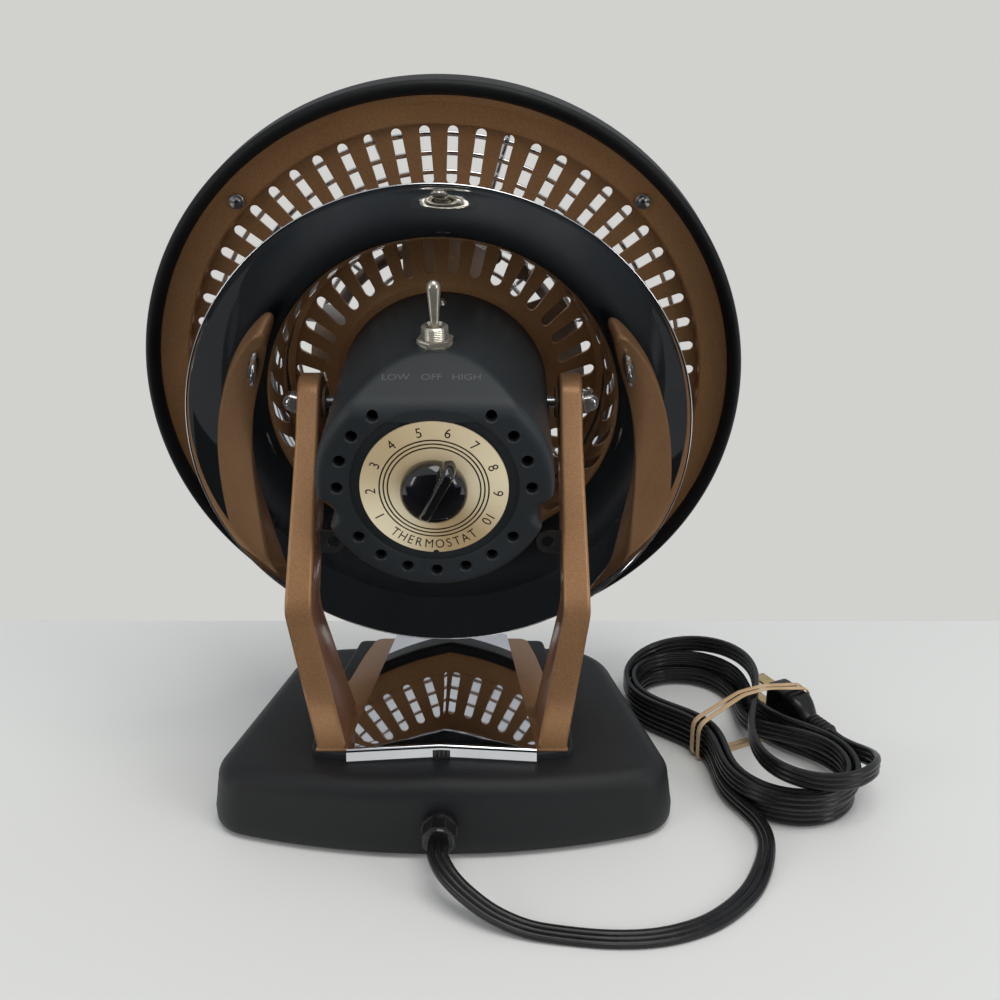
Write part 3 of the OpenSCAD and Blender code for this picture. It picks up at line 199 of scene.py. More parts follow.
@dataclass
class ShaderBuilder:
    """Builds the node tree of one finish."""

    finish: Finish
    nodes: bpy.types.Nodes = field(init=False)
    links: bpy.types.NodeLinks = field(init=False)
    coords: bpy.types.NodeSocket = field(init=False)

    def add(self, kind: str, **settings: object) -> bpy.types.Node:
        """Adds a shader node.

        Args:
            kind: the node's type name.
            settings: properties of the node.

        Returns:
            The new node.
        """
        node = self.nodes.new(kind)
        for name, value in settings.items():
            setattr(node, name, value)
        return node

    def noise(self, scale: float, detail: float = 3.0) -> bpy.types.NodeSocket:
        """Adds a noise texture in object coordinates.

        Args:
            scale: cells per metre.
            detail: octaves.

        Returns:
            The socket with the noise value.
        """
        tex = self.add("ShaderNodeTexNoise")
        tex.inputs["Scale"].default_value = scale
        tex.inputs["Detail"].default_value = detail
        self.links.new(self.coords, tex.inputs["Vector"])
        return tex.outputs["Fac"]

    def ramp(self, value: bpy.types.NodeSocket, low: float, high: float, a: float,
             b: float) -> bpy.types.NodeSocket:
        """Maps a value's range to another one.

        Args:
            value: socket to map.
            low: input that gives a.
            high: input that gives b.
            a: first output.
            b: second output.

        Returns:
            The mapped socket.
        """
        node = self.add("ShaderNodeMapRange")
        for name, number in (("From Min", low), ("From Max", high), ("To Min", a), ("To Max", b)):
            node.inputs[name].default_value = number
        self.links.new(value, node.inputs["Value"])
        return node.outputs["Result"]

    def mix(self, factor: bpy.types.NodeSocket, a: tuple, b: tuple) -> bpy.types.NodeSocket:
        """Mixes two colours.

        Args:
            factor: socket of the factor.
            a: colour at 0.
            b: colour at 1.

        Returns:
            The colour socket.
        """
        node = self.add("ShaderNodeMix", data_type="RGBA")
        self.links.new(factor, node.inputs[0])
        node.inputs[6].default_value = (*a, 1.0)
        node.inputs[7].default_value = (*b, 1.0)
        return node.outputs[2]

    def math(self, operation: str, a: object, b: object = 0.0) -> bpy.types.NodeSocket:
        """Adds a math node whose inputs are sockets or numbers.

        Args:
            operation: name of the operation.
            a: first input.
            b: second input.

        Returns:
            The result's socket.
        """
        node = self.add("ShaderNodeMath", operation=operation)
        for socket, value in zip(node.inputs, (a, b)):
            if isinstance(value, bpy.types.NodeSocket):
                self.links.new(value, socket)
            else:
                socket.default_value = value
        return node.outputs[0]

    def spun(self) -> tuple[bpy.types.NodeSocket, bpy.types.NodeSocket]:
        """Painted highlight: brightness by the angle round the head's axis, standing in for the bright sectors
        that a brushed disc reflects, with fine rings.

        Returns:
            The painted highlight's factor and the ring value.
        """
        turn = self.add("ShaderNodeMapping", vector_type="TEXTURE")
        centre = head_points(np.array([0.0, 0.0, -DIAL_BACK])) * MM
        turn.inputs["Location"].default_value = tuple(centre)
        turn.inputs["Rotation"].default_value = (TILT, 0.0, 0.0)
        self.links.new(self.coords, turn.inputs["Vector"])
        split = self.add("ShaderNodeSeparateXYZ")
        self.links.new(turn.outputs[0], split.inputs[0])
        broad, broad_shift, narrow, narrow_shift, narrow_share, fineness = 2.0, -2.1, 3.0, 0.9, 0.45, 26000.0
        x, z = split.outputs["X"], split.outputs["Z"]
        angle = self.math("ARCTAN2", x, z)
        wedge = self.math("COSINE", self.math("ADD", self.math("MULTIPLY", angle, broad), broad_shift))
        second = self.math("COSINE", self.math("ADD", self.math("MULTIPLY", angle, narrow), narrow_shift))
        both = self.math("ADD", wedge, self.math("MULTIPLY", second, narrow_share))
        radius = self.math("SQRT", self.math("ADD", self.math("MULTIPLY", x, x), self.math("MULTIPLY", z, z)))
        rings = self.math("SINE", self.math("MULTIPLY", radius, fineness))
        return self.ramp(both, -1.2, 1.3, 0.0, 1.0), rings

    def build(self) -> bpy.types.Material:
        """Builds the material.

        Returns:
            The finished material.
        """
        f = self.finish
        coat_rough, full_turn = 0.12, 6.283
        material = bpy.data.materials.new(f.label)
        material.use_nodes = True
        tree = material.node_tree
        tree.nodes.clear()
        self.nodes, self.links = tree.nodes, tree.links
        self.coords = self.add("ShaderNodeTexCoord").outputs["Object"]
        out = self.add("ShaderNodeOutputMaterial")
        bsdf = self.add("ShaderNodeBsdfPrincipled")
        self.links.new(bsdf.outputs[0], out.inputs["Surface"])
        bsdf.inputs["Metallic"].default_value = f.metallic
        bsdf.inputs["IOR"].default_value = f.sheen_ior
        bsdf.inputs["Coat Weight"].default_value = f.coat
        bsdf.inputs["Coat Roughness"].default_value = coat_rough
        slow = self.noise(f.mottle)
        fine = self.noise(f.grain, 2.0)
        factor = self.ramp(slow, 0.35, 0.65, 0.0, 1.0)
        height = fine
        if f.pattern is Pattern.FLAKE:
            cells = self.add("ShaderNodeTexVoronoi", feature="F1")
            cells.inputs["Scale"].default_value = f.grain
            self.links.new(self.coords, cells.inputs["Vector"])
            speck = self.add("ShaderNodeSeparateColor")
            self.links.new(cells.outputs["Color"], speck.inputs[0])
            height = speck.outputs[0]
            both = self.math("ADD", self.math("MULTIPLY", slow, 0.6), self.math("MULTIPLY", height, 0.55))
            factor = self.ramp(both, 0.25, 0.95, 0.0, 1.0)
        elif f.pattern is Pattern.SPUN:
            # bright sectors as a painted highlight, mixed from tint to shade by angle
            factor, height = self.spun()
        elif f.pattern is Pattern.LINES:
            split = self.add("ShaderNodeSeparateXYZ")
            self.links.new(self.coords, split.inputs[0])
            height = self.math("SINE", self.math("MULTIPLY", split.outputs["Y"], f.grain * full_turn))
            factor = self.ramp(height, -1.0, 1.0, 0.0, 1.0)
        self.links.new(self.mix(factor, f.tint, f.shade), bsdf.inputs["Base Color"])
        rough = self.ramp(slow, 0.3, 0.7, max(f.roughness - f.vary, 0.01), f.roughness + f.vary)
        self.links.new(rough, bsdf.inputs["Roughness"])
        if f.bump > 0:
            bump = self.add("ShaderNodeBump")
            bump.inputs["Strength"].default_value = 1.0
            bump.inputs["Distance"].default_value = f.bump
            self.links.new(height, bump.inputs["Height"])
            self.links.new(bump.outputs[0], bsdf.inputs["Normal"])
        return material


BRONZE = Finish("bronze_lacquer", "bronze_paint", (0.36, 0.180, 0.078), (0.52, 0.275, 0.122), Pattern.FLAKE,
                metallic=0.62, roughness=0.33, vary=0.03, grain=2600.0, bump=0.00003, mottle=18.0, coat=0.15)
ARM_BRONZE = Finish("arm_lacquer", "bronze_paint", (0.34, 0.172, 0.078), (0.48, 0.265, 0.125), Pattern.FLAKE,
                    metallic=0.5, roughness=0.40, vary=0.03, grain=2600.0, bump=0.00003, mottle=18.0, coat=0.1)
LINER = Finish("liner_lacquer", "liner_brown", (0.22, 0.095, 0.060), (0.30, 0.140, 0.085), Pattern.FLAKE,
               metallic=0.35, roughness=0.30, grain=3000.0, mottle=30.0, coat=0.3)
BASE_BLACK = Finish("base_moulding", "black_moulding", (0.0085, 0.0092, 0.0105), (0.012, 0.013, 0.0145),
                    roughness=0.50, vary=0.04, grain=1700.0, bump=0.00012, mottle=9.0, sheen_ior=1.38)
RING_BLACK = Finish("ring_coat", "ring_black", (0.005, 0.0055, 0.006), (0.008, 0.0085, 0.0095),
                    roughness=0.46, vary=0.05, grain=1500.0, bump=0.00016, mottle=14.0, sheen_ior=1.3)
CAN_BLACK = Finish("housing_coat", "can_black", (0.018, 0.022, 0.025), (0.024, 0.029, 0.033),
                   roughness=0.46, vary=0.04, grain=1900.0, bump=0.00010, mottle=22.0, sheen_ior=1.38)
CHROME = Finish("bright_chrome", "chrome", (0.80, 0.81, 0.83), (0.70, 0.71, 0.74), Pattern.SMUDGE,
                metallic=1.0, roughness=0.035, vary=0.025, mottle=24.0)
NUT = Finish("nut_chrome", "chrome", (0.74, 0.73, 0.71), (0.62, 0.61, 0.60), Pattern.SMUDGE,
             metallic=0.9, roughness=0.12, vary=0.04, mottle=220.0)
# Back of the dish inside the shell: unplated steel, made darker than bare steel as painted shade.
DISH_BACK_SHADED_STEEL = Finish("dish_underside_painted_shade", "chrome", (0.10, 0.10, 0.105), (0.14, 0.14, 0.145), Pattern.SMUDGE,
                         metallic=0.9, roughness=0.38, vary=0.05, mottle=40.0)
WIRE = Finish("wire_chrome", "chrome", (0.78, 0.78, 0.79), (0.66, 0.66, 0.68), Pattern.SMUDGE,
              metallic=1.0, roughness=0.12, vary=0.05, mottle=60.0)
# Dial plate: tint in the dull sectors, shade as the painted highlight of the bright ones.
BRASS = Finish("dial_brass", "brass_foil", (0.50, 0.36, 0.19), (0.98, 0.86, 0.60), Pattern.SPUN,
               metallic=0.15, roughness=0.34, vary=0.04, bump=0.000004, mottle=40.0)
INK = Finish("printed_ink", "black_gloss", (0.012, 0.009, 0.007), (0.020, 0.016, 0.012),
             roughness=0.45, mottle=90.0)
PALE_INK = Finish("pale_ink", "can_black", (0.065, 0.071, 0.077), (0.088, 0.095, 0.100),
                  roughness=0.55, mottle=120.0)
GLOSS_BLACK = Finish("knob_phenolic", "black_gloss", (0.004, 0.004, 0.005), (0.007, 0.007, 0.008),
                     roughness=0.07, vary=0.03, mottle=70.0, coat=0.6)
GLAND_BLACK = Finish("gland_nylon", "black_gloss", (0.008, 0.008, 0.009), (0.013, 0.013, 0.014),
                     roughness=0.16, vary=0.05, mottle=120.0)
VINYL = Finish("cord_vinyl_black", "cord_vinyl", (0.0065, 0.0065, 0.0075), (0.012, 0.012, 0.013),
               roughness=0.27, vary=0.07, grain=900.0, bump=0.00004, mottle=55.0, sheen_ior=1.4)
NICKEL = Finish("nickel_plate", "nickel", (0.70, 0.66, 0.57), (0.58, 0.54, 0.46), Pattern.SMUDGE,
                metallic=0.78, roughness=0.20, vary=0.06, mottle=220.0)
ZINC = Finish("zinc_plate", "zinc_steel", (0.55, 0.55, 0.56), (0.42, 0.42, 0.43), Pattern.SMUDGE,
              metallic=1.0, roughness=0.30, vary=0.08, mottle=260.0)
BAND_TAN = Finish("band_rubber", "band_tan", (0.50, 0.33, 0.17), (0.60, 0.43, 0.25),
                  roughness=0.55, vary=0.06, grain=700.0, bump=0.00012, mottle=90.0)
RUBBER = Finish("foot_rubber", "rubber", (0.014, 0.014, 0.014), (0.022, 0.022, 0.022),
                roughness=0.7, bump=0.0001, mottle=60.0)
PLATE = Finish("plate_enamel", "steel_plate", (0.03, 0.03, 0.032), (0.045, 0.045, 0.047),
               roughness=0.42, bump=0.00004, mottle=30.0)
CREAM = Finish("cream_moulding", "inner_plastic", (0.62, 0.57, 0.45), (0.70, 0.65, 0.52),
               roughness=0.45, bump=0.00003, mottle=60.0)
BLADE = Finish("blade_brass_bare", "blade_brass", (0.60, 0.45, 0.20), (0.70, 0.55, 0.28), Pattern.SMUDGE,
               metallic=1.0, roughness=0.28, mottle=200.0)
STACK = Finish("stack_steel", "motor_steel", (0.16, 0.165, 0.17), (0.34, 0.345, 0.35), Pattern.LINES,
               metallic=0.8, roughness=0.42, grain=1600.0, bump=0.00005)
COPPER = Finish("winding_copper", "copper", (0.40, 0.15, 0.06), (0.62, 0.27, 0.12), Pattern.LINES,
                metallic=0.8, roughness=0.34, grain=1900.0, bump=0.00008)
ALUMINIUM = Finish("fan_sheet", "fan_aluminium", (0.52, 0.53, 0.54), (0.60, 0.61, 0.62), Pattern.SMUDGE,
                   metallic=1.0, roughness=0.34, vary=0.07, mottle=90.0)
SHEATH = Finish("heater_steel", "heater_sheath", (0.17, 0.145, 0.125), (0.27, 0.235, 0.21),
                metallic=0.8, roughness=0.45, bump=0.00003, mottle=70.0)
FIBRE = Finish("pressed_fibre", "fibre", (0.10, 0.065, 0.04), (0.15, 0.10, 0.065),
               roughness=0.75, bump=0.00008, mottle=150.0)


def head_points(points: np.ndarray) -> np.ndarray:
    """Takes points from the head's own coordinates to the row frame, both in millimetres.

    The head's (right, up, forward) triple is moved forward and down by the tilt axis's distances,
    turned up by the tilt and set on the pivot.

    Args:
        points: array whose last axis is (right, up, forward).

    Returns:
        Array of the same shape in the row frame.
    """
    p = np.asarray(points, float)
    c, s = math.cos(TILT), math.sin(TILT)
    forward, up = p[..., 2] + PIVOT_BACK, p[..., 1] - PIVOT_UP
    turned = np.stack([p[..., 0], forward * c - up * s, forward * s + up * c], -1)
    return turned + PIVOT


def grid_quads(rows: int, cols: int, wrap_rows: bool, wrap_cols: bool) -> np.ndarray:
    """Quads of a grid of points numbered row by row.

    Args:
        rows: number of rows.
        cols: number of points in a row.
        wrap_rows: whether the last row meets the first.
        wrap_cols: whether each row is a loop.

    Returns:
        Array of point indices, four to a quad.
    """
    i = np.arange(rows if wrap_rows else rows - 1)
    j = np.arange(cols if wrap_cols else cols - 1)
    i, j = np.meshgrid(i, j, indexing="ij")
    i2, j2 = (i + 1) % rows, (j + 1) % cols
    return np.stack([i * cols + j, i * cols + j2, i2 * cols + j2, i2 * cols + j], -1).reshape(-1, 4)


def arc_points(centre: tuple[float, float], r: float, a0: float, a1: float, n: int) -> np.ndarray:
    """Points on an arc: centre plus r times (cosine, sine) of an angle that runs from a0 to a1 degrees.

    Args:
        centre: middle of the arc.
        r: radius.
        a0: first angle.
        a1: last angle.
        n: number of steps.

    Returns:
        Array of n + 1 points.
    """
    a = np.radians(np.linspace(a0, a1, n + 1))
    return np.stack([centre[0] + r * np.cos(a), centre[1] + r * np.sin(a)], -1)


def tangents(line: np.ndarray, closed: bool = False) -> np.ndarray:
    """Directions of length one along a line, each from the point before to the point after.

    Args:
        line: its points.
        closed: whether the last point meets the first.

    Returns:
        One direction for each point.
    """
    step = np.roll(line, -1, 0) - np.roll(line, 1, 0) if closed else np.gradient(line, axis=0)
    return step / np.linalg.norm(step, axis=1)[:, None]


def tube_faces(rows: int, cols: int) -> list[np.ndarray]:
    """Faces of a tube made of rings: its wall and one face over each end.

    Args:
        rows: number of rings.
        cols: number of points in a ring.

    Returns:
        Arrays of point indices.
    """
    ring = np.arange(cols)
    return [grid_quads(rows, cols, False, True), ring[None, ::-1], (ring + (rows - 1) * cols)[None]]


def soft_max(a: np.ndarray, b: np.ndarray, k: float) -> np.ndarray:
    """The larger of two values, rounded off over a width k where they meet: half of a quadratic is added.

    Args:
        a: first values.
        b: second values.
        k: width of the rounding.

    Returns:
        The smooth maximum.
    """
    h = np.clip(k - np.abs(a - b), 0.0, None) / k
    return np.maximum(a, b) + h * h * k * 0.25


def smooth_step(t: np.ndarray) -> np.ndarray:
    """Three t squared less two t cubed, with t held between 0 and 1.

    Args:
        t: input.

    Returns:
        The step.
    """
    t = np.clip(t, 0.0, 1.0)
    return t * t * (3.0 - 2.0 * t)


def build_mesh(name: str, points: np.ndarray, faces: list[np.ndarray]) -> bpy.types.Mesh:
    """Makes a mesh from points in millimetres.

    Args:
        name: name of the mesh.
        points: array of points in the row frame.
        faces: arrays of indices, each with faces of one size.

    Returns:
        The new mesh.
    """
    points = np.ascontiguousarray(points.reshape(-1, 3) * MM, dtype=np.float32)
    mesh = bpy.data.meshes.new(name)
    mesh.vertices.add(len(points))
    mesh.vertices.foreach_set("co", points.ravel())
    loops = np.concatenate([f.ravel() for f in faces]).astype(np.int32)
    sizes = np.concatenate([np.full(len(f), f.shape[1]) for f in faces])
    starts = np.concatenate([[0], np.cumsum(sizes)[:-1]]).astype(np.int32)
    mesh.loops.add(len(loops))
    mesh.loops.foreach_set("vertex_index", loops)
    mesh.polygons.add(len(sizes))
    mesh.polygons.foreach_set("loop_start", starts)
    mesh.update(calc_edges=True)
    mesh.validate()
    return mesh


def tidy_mesh(mesh: bpy.types.Mesh, merge: float = 0.0) -> None:
    """Merges doubled points and turns the normals outward.

    Args:
        mesh: mesh to tidy.
        merge: distance in metres within which points merge, or 0.
    """
    bm = bmesh.new()
    bm.from_mesh(mesh)
    if merge > 0:
        bmesh.ops.remove_doubles(bm, verts=bm.verts, dist=merge)
    bmesh.ops.recalc_face_normals(bm, faces=bm.faces)
    bm.to_mesh(mesh)
    bm.free()


def gather(bm: bmesh.types.BMesh, name: str) -> bpy.types.Mesh:
    """Turns an edit mesh into a new mesh and frees it.

    Args:
        bm: the edit mesh.
        name: name of the new mesh.

    Returns:
        The new mesh.
    """
    mesh = bpy.data.meshes.new(name)
    bm.to_mesh(mesh)
    bm.free()
    return mesh


def add_object(name: str, data: object) -> bpy.types.Object:
    """Makes an object and links it to the scene.

    Args:
        name: name of the object.
        data: its mesh, curve, light or camera.

    Returns:
        The new object.
    """
    obj = bpy.data.objects.new(name, data)
    bpy.context.scene.collection.objects.link(obj)
    return obj


def shade(mesh: bpy.types.Mesh, angle: float) -> None:
    """Shades a mesh smooth, with sharp edges above an angle.

    Args:
        mesh: mesh to shade.
        angle: limit in degrees.
    """
    mesh.shade_smooth()
    mesh.set_sharp_from_angle(angle=math.radians(angle))


def bake_modifiers(obj: bpy.types.Object) -> None:
    """Replaces an object's mesh by its evaluated one and drops the modifiers.

    Args:
        obj: object to bake.
    """
    graph = bpy.context.evaluated_depsgraph_get()
    mesh = bpy.data.meshes.new_from_object(obj.evaluated_get(graph))
    obj.modifiers.clear()
    obj.data = mesh


@dataclass
class Unit:
    """A sub-assembly: pieces that ride on one CAD body."""

    frame: dict
    body: Body

    def place(self, mesh: bpy.types.Mesh, finish: Finish, nodes: tuple[str, ...] = (),
              angle: float = 35.0) -> bpy.types.Object:
        """Makes an object of a mesh, gives it its finish and lets it ride on the unit's body.

        Args:
            mesh: the piece's mesh.
            finish: its finish.
            nodes: CAD nodes that it stands for.
            angle: limit of smooth shading in degrees.

        Returns:
            The new object.
        """
        shade(mesh, angle)
        mesh.materials.clear()
        mesh.materials.append(finish.material())
        obj = add_object(mesh.name, mesh)
        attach(obj, self.body.value)
        if nodes:
            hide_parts(*nodes)
        return obj

    def carry(self, node: str, finish: Finish, bevel: float = 0.0, angle: float = 32.0,
              segments: int = 2) -> bpy.types.Object:
        """Shows a CAD node as a merged and smoothly shaded copy.

        Args:
            node: name of the CAD node.
            finish: its finish.
            bevel: width of rounded edges in millimetres, or 0.
            angle: limit of smooth shading in degrees.
            segments: steps of the rounding.

        Returns:
            The new object.
        """
        snap = 1e-6
        source = self.frame["nodes"][node].data
        co = np.empty(len(source.vertices) * 3, np.float32)
        source.vertices.foreach_get("co", co)
        loops = np.empty(len(source.loops), np.int32)
        source.loops.foreach_get("vertex_index", loops)
        points, back = np.unique(np.round(co.reshape(-1, 3) / snap), axis=0, return_inverse=True)
        faces = back.reshape(-1)[loops].reshape(-1, 3)
        real = (faces[:, 0] != faces[:, 1]) & (faces[:, 1] != faces[:, 2]) & (faces[:, 0] != faces[:, 2])
        mesh = build_mesh(f"{node}_piece", points * snap / MM, [faces[real]])
        if bevel > 0:
            bm = bmesh.new()
            bm.from_mesh(mesh)
            bmesh.ops.dissolve_limit(bm, angle_limit=math.radians(0.2), verts=bm.verts, edges=bm.edges)
            bm.to_mesh(mesh)
            bm.free()
        obj = self.place(mesh, finish, (node,), angle)
        if bevel > 0:
            mod = obj.modifiers.new("edge", "BEVEL")
            mod.width = bevel * MM
            mod.segments = segments
            mod.limit_method = "ANGLE"
            mod.angle_limit = math.radians(40)
            mod.use_clamp_overlap = True
            bake_modifiers(obj)
            shade(obj.data, angle)
        return obj

    def revolve(self, name: str, profile: np.ndarray, finish: Finish, nodes: tuple[str, ...] = (),
                steps: int = 256, angle: float = 35.0) -> bpy.types.Object:
        """Turns a closed profile of (radius, forward) points round the head's axis.

        Args:
            name: name of the piece.
            profile: the points.
            finish: its finish.
            nodes: CAD nodes that it stands for.
            steps: steps round the axis.
            angle: limit of smooth shading in degrees.

        Returns:
            The new object.
        """
        mesh = build_mesh(name, head_points(spin(profile, steps)),
                          [grid_quads(len(profile), steps, True, True)])
        tidy_mesh(mesh, WELD)
        return self.place(mesh, finish, nodes, angle)


def spin(profile: np.ndarray, steps: int) -> np.ndarray:
    """Points of a profile turned round the forward axis: right is the radius times the sine of the
    angle, up is the radius times its cosine.

    Args:
        profile: array of (radius, forward).
        steps: steps round the axis.

    Returns:
        Array (profile, steps, 3).
    """
    a = np.linspace(0, 2 * math.pi, steps, endpoint=False)
    r, s = profile[:, :1], profile[:, 1:]
    return np.stack([r * np.sin(a), r * np.cos(a), s + 0 * a], -1)


def cut(target: bpy.types.Object, cutter: bpy.types.Mesh) -> None:
    """Cuts a mesh from an object.

    Args:
        target: object that is cut.
        cutter: mesh of the cutter.
    """
    tool = add_object("cutter", cutter)
    mod = target.modifiers.new("cut", "BOOLEAN")
    mod.operation = "DIFFERENCE"
    mod.solver = "EXACT"
    mod.use_self = True
    mod.object = tool
    bake_modifiers(target)
    bpy.data.objects.remove(tool)


def plain_spin(name: str, profile: np.ndarray, steps: int,
               place: Callable[[np.ndarray], np.ndarray]) -> bpy.types.Mesh:
    """Closed solid of revolution whose points are placed by a function.

    Args:
        name: name of the mesh.
        profile: array of (radius, height) from axis to axis.
        steps: steps round the axis.
        place: function from (across, along, height) arrays to the row frame.

    Returns:
        The mesh.
    """
    points = spin(profile, steps)
    mesh = build_mesh(name, place(points), [grid_quads(len(profile), steps, False, True)])
    tidy_mesh(mesh, WELD)
    return mesh


@dataclass
class BaseUnit(Unit):
    """Moulded base, its plate, feet, screws, inner parts and the cord's bushing."""

    width: float = 228.0
    front_width: float = 190.0
    depth: float = 152.0
    bow_r: float = 330.0
    rear_r: float = 24.0
    front_r: float = 32.0
    side_turn: float = 8.0
    ridge: float = 40.0
    fall: float = 5.5

    def outline(self, margin: float) -> np.ndarray:
        """Outline of the base: a bowed rear edge, two rear and two front corners, mirrored.

        Args:
            margin: how far it is drawn in.

        Returns:
            Array of points, anticlockwise from the middle of the rear edge.
        """
        rear = (self.width / 2 - self.rear_r, self.bow_r - self.depth / 2
                - math.sqrt((self.bow_r - self.rear_r) ** 2 - (self.width / 2 - self.rear_r) ** 2))
        front = (self.front_width / 2 - self.front_r, self.depth / 2 - self.front_r)
        turn = math.degrees(math.asin(rear[0] / (self.bow_r - self.rear_r)))
        half = np.concatenate([
            arc_points((0, self.bow_r - self.depth / 2), self.bow_r - margin, -90, -90 + turn, 40),
            arc_points(rear, self.rear_r - margin, -90 + turn, self.side_turn, 28)[1:],
            arc_points(front, self.front_r - margin, self.side_turn, 90, 28)])
        ahead = np.stack([np.linspace(half[-1, 0], 0, 24)[1:], np.full(23, half[-1, 1])], -1)
        half = np.concatenate([half, ahead])
        other = half[1:-1][::-1] * [-1, 1]
        return np.concatenate([half, other])

    def roof(self, xy: np.ndarray) -> np.ndarray:
        """Height of the top: the ridge less a fall in step with the distance from the middle line.

        Args:
            xy: points.

        Returns:
            Heights.
        """
        soft = 2.0
        x = np.sqrt(xy[:, 0] ** 2 + soft ** 2) - soft
        return self.ridge - self.fall * x / 100.0

    def shell(self) -> None:
        """The moulding: side walls with a little draft, a rounded shoulder and the low ridge."""
        draft, shoulder, crown, core_in = 2.4, 10.0, 0.15, 20.0
        rings = []
        for z, m in ((2.5, 3.0), (2.5, 1.0), (2.9, 0.4), (3.6, 0.1), (8.5, 0.0), (14.0, 0.9), (20.0, 1.7)):
            xy = self.outline(m)
            rings.append(np.column_stack([xy, np.full(len(xy), z)]))
        for a in np.radians(np.linspace(0, 90, 14)):
            xy = self.outline(draft + shoulder * (1 - math.cos(a)))
            rings.append(np.column_stack([xy, self.roof(xy) - shoulder - 0.2 + shoulder * math.sin(a)]))
        core = self.outline(core_in)
        top = [self.outline(m) for m in (14.0, 17.0, core_in)] + [core * k for k in np.linspace(0.9, 0.0, 10)]
        for xy in top:
            rings.append(np.column_stack([xy, self.roof(xy) - crown]))
        points = np.stack(rings)
        points[..., 1] += SHIFT_Y
        faces = [grid_quads(points.shape[0], points.shape[1], False, True)]
        faces.append(np.arange(points.shape[1])[None, ::-1])
        mesh = build_mesh("base_moulding", points, faces)
        tidy_mesh(mesh, WELD)
        self.place(mesh, BASE_BLACK, ("base_shell",), 60)

    def pad(self) -> None:
        """The flat pad under the fork, with a softened upper edge."""
        rear, edge, flat = -50.1, 64.0, 68.0
        half = np.array([[0, rear], [46, rear], [edge, rear + 4], [edge, -3.0], [edge - 11, flat], [0, flat]])
        ring = np.concatenate([half, (half[1:-1] * [-1, 1])[::-1]])
        ring = round_loop(resample_loop(ring, 400), 6)
        centre = ring.mean(0)
        rows = []
        lip = ((0, 30.0), (0, 40.3), (0.15, 40.8), (0.5, 41.25), (1.1, 41.45), (1.8, 41.5), (30.0, 41.5))
        for inset, z in lip:
            inward = centre - ring
            inward /= np.linalg.norm(inward, axis=1)[:, None]
            xy = ring + inward * inset
            rows.append(np.column_stack([xy, np.full(len(xy), z)]))
        points = np.stack(rows)
        points[..., 1] += SHIFT_Y
        mesh = build_mesh("base_pad", points, tube_faces(len(rows), points.shape[1]))
        tidy_mesh(mesh)
        self.place(mesh, BASE_BLACK, (), 40)

    def build(self) -> None:
        """Builds the base."""
        self.shell()
        self.pad()
        self.carry("bottom_plate", PLATE)
        self.carry("rubber_feet", RUBBER)
        self.carry("plate_screws", ZINC)
        self.carry("tip_switch", CREAM, 0.3)
        self.carry("terminal_block", CREAM, 0.3)
        self.carry("inner_lead", VINYL, angle=60)
        self.carry("strain_relief", GLAND_BLACK, 0.35, 30, 3)


def resample_loop(loop: np.ndarray, count: int) -> np.ndarray:
    """Spreads points evenly along a closed line.

    Args:
        loop: corners of the line.
        count: number of points wanted.

    Returns:
        The points.
    """
    closed = np.concatenate([loop, loop[:1]])
    length = np.concatenate([[0], np.cumsum(np.linalg.norm(np.diff(closed, axis=0), axis=1))])
    t = np.linspace(0, length[-1], count, endpoint=False)
    return np.stack([np.interp(t, length, closed[:, k]) for k in range(closed.shape[1])], -1)


def round_loop(loop: np.ndarray, passes: int) -> np.ndarray:
    """Rounds a closed line by repeated averaging of each point with its neighbours.

    Args:
        loop: points of the line.
        passes: how often.

    Returns:
        The rounded line.
    """
    for _ in range(passes):
        loop = (np.roll(loop, 1, 0) + 2 * loop + np.roll(loop, -1, 0)) / 4
    return loop


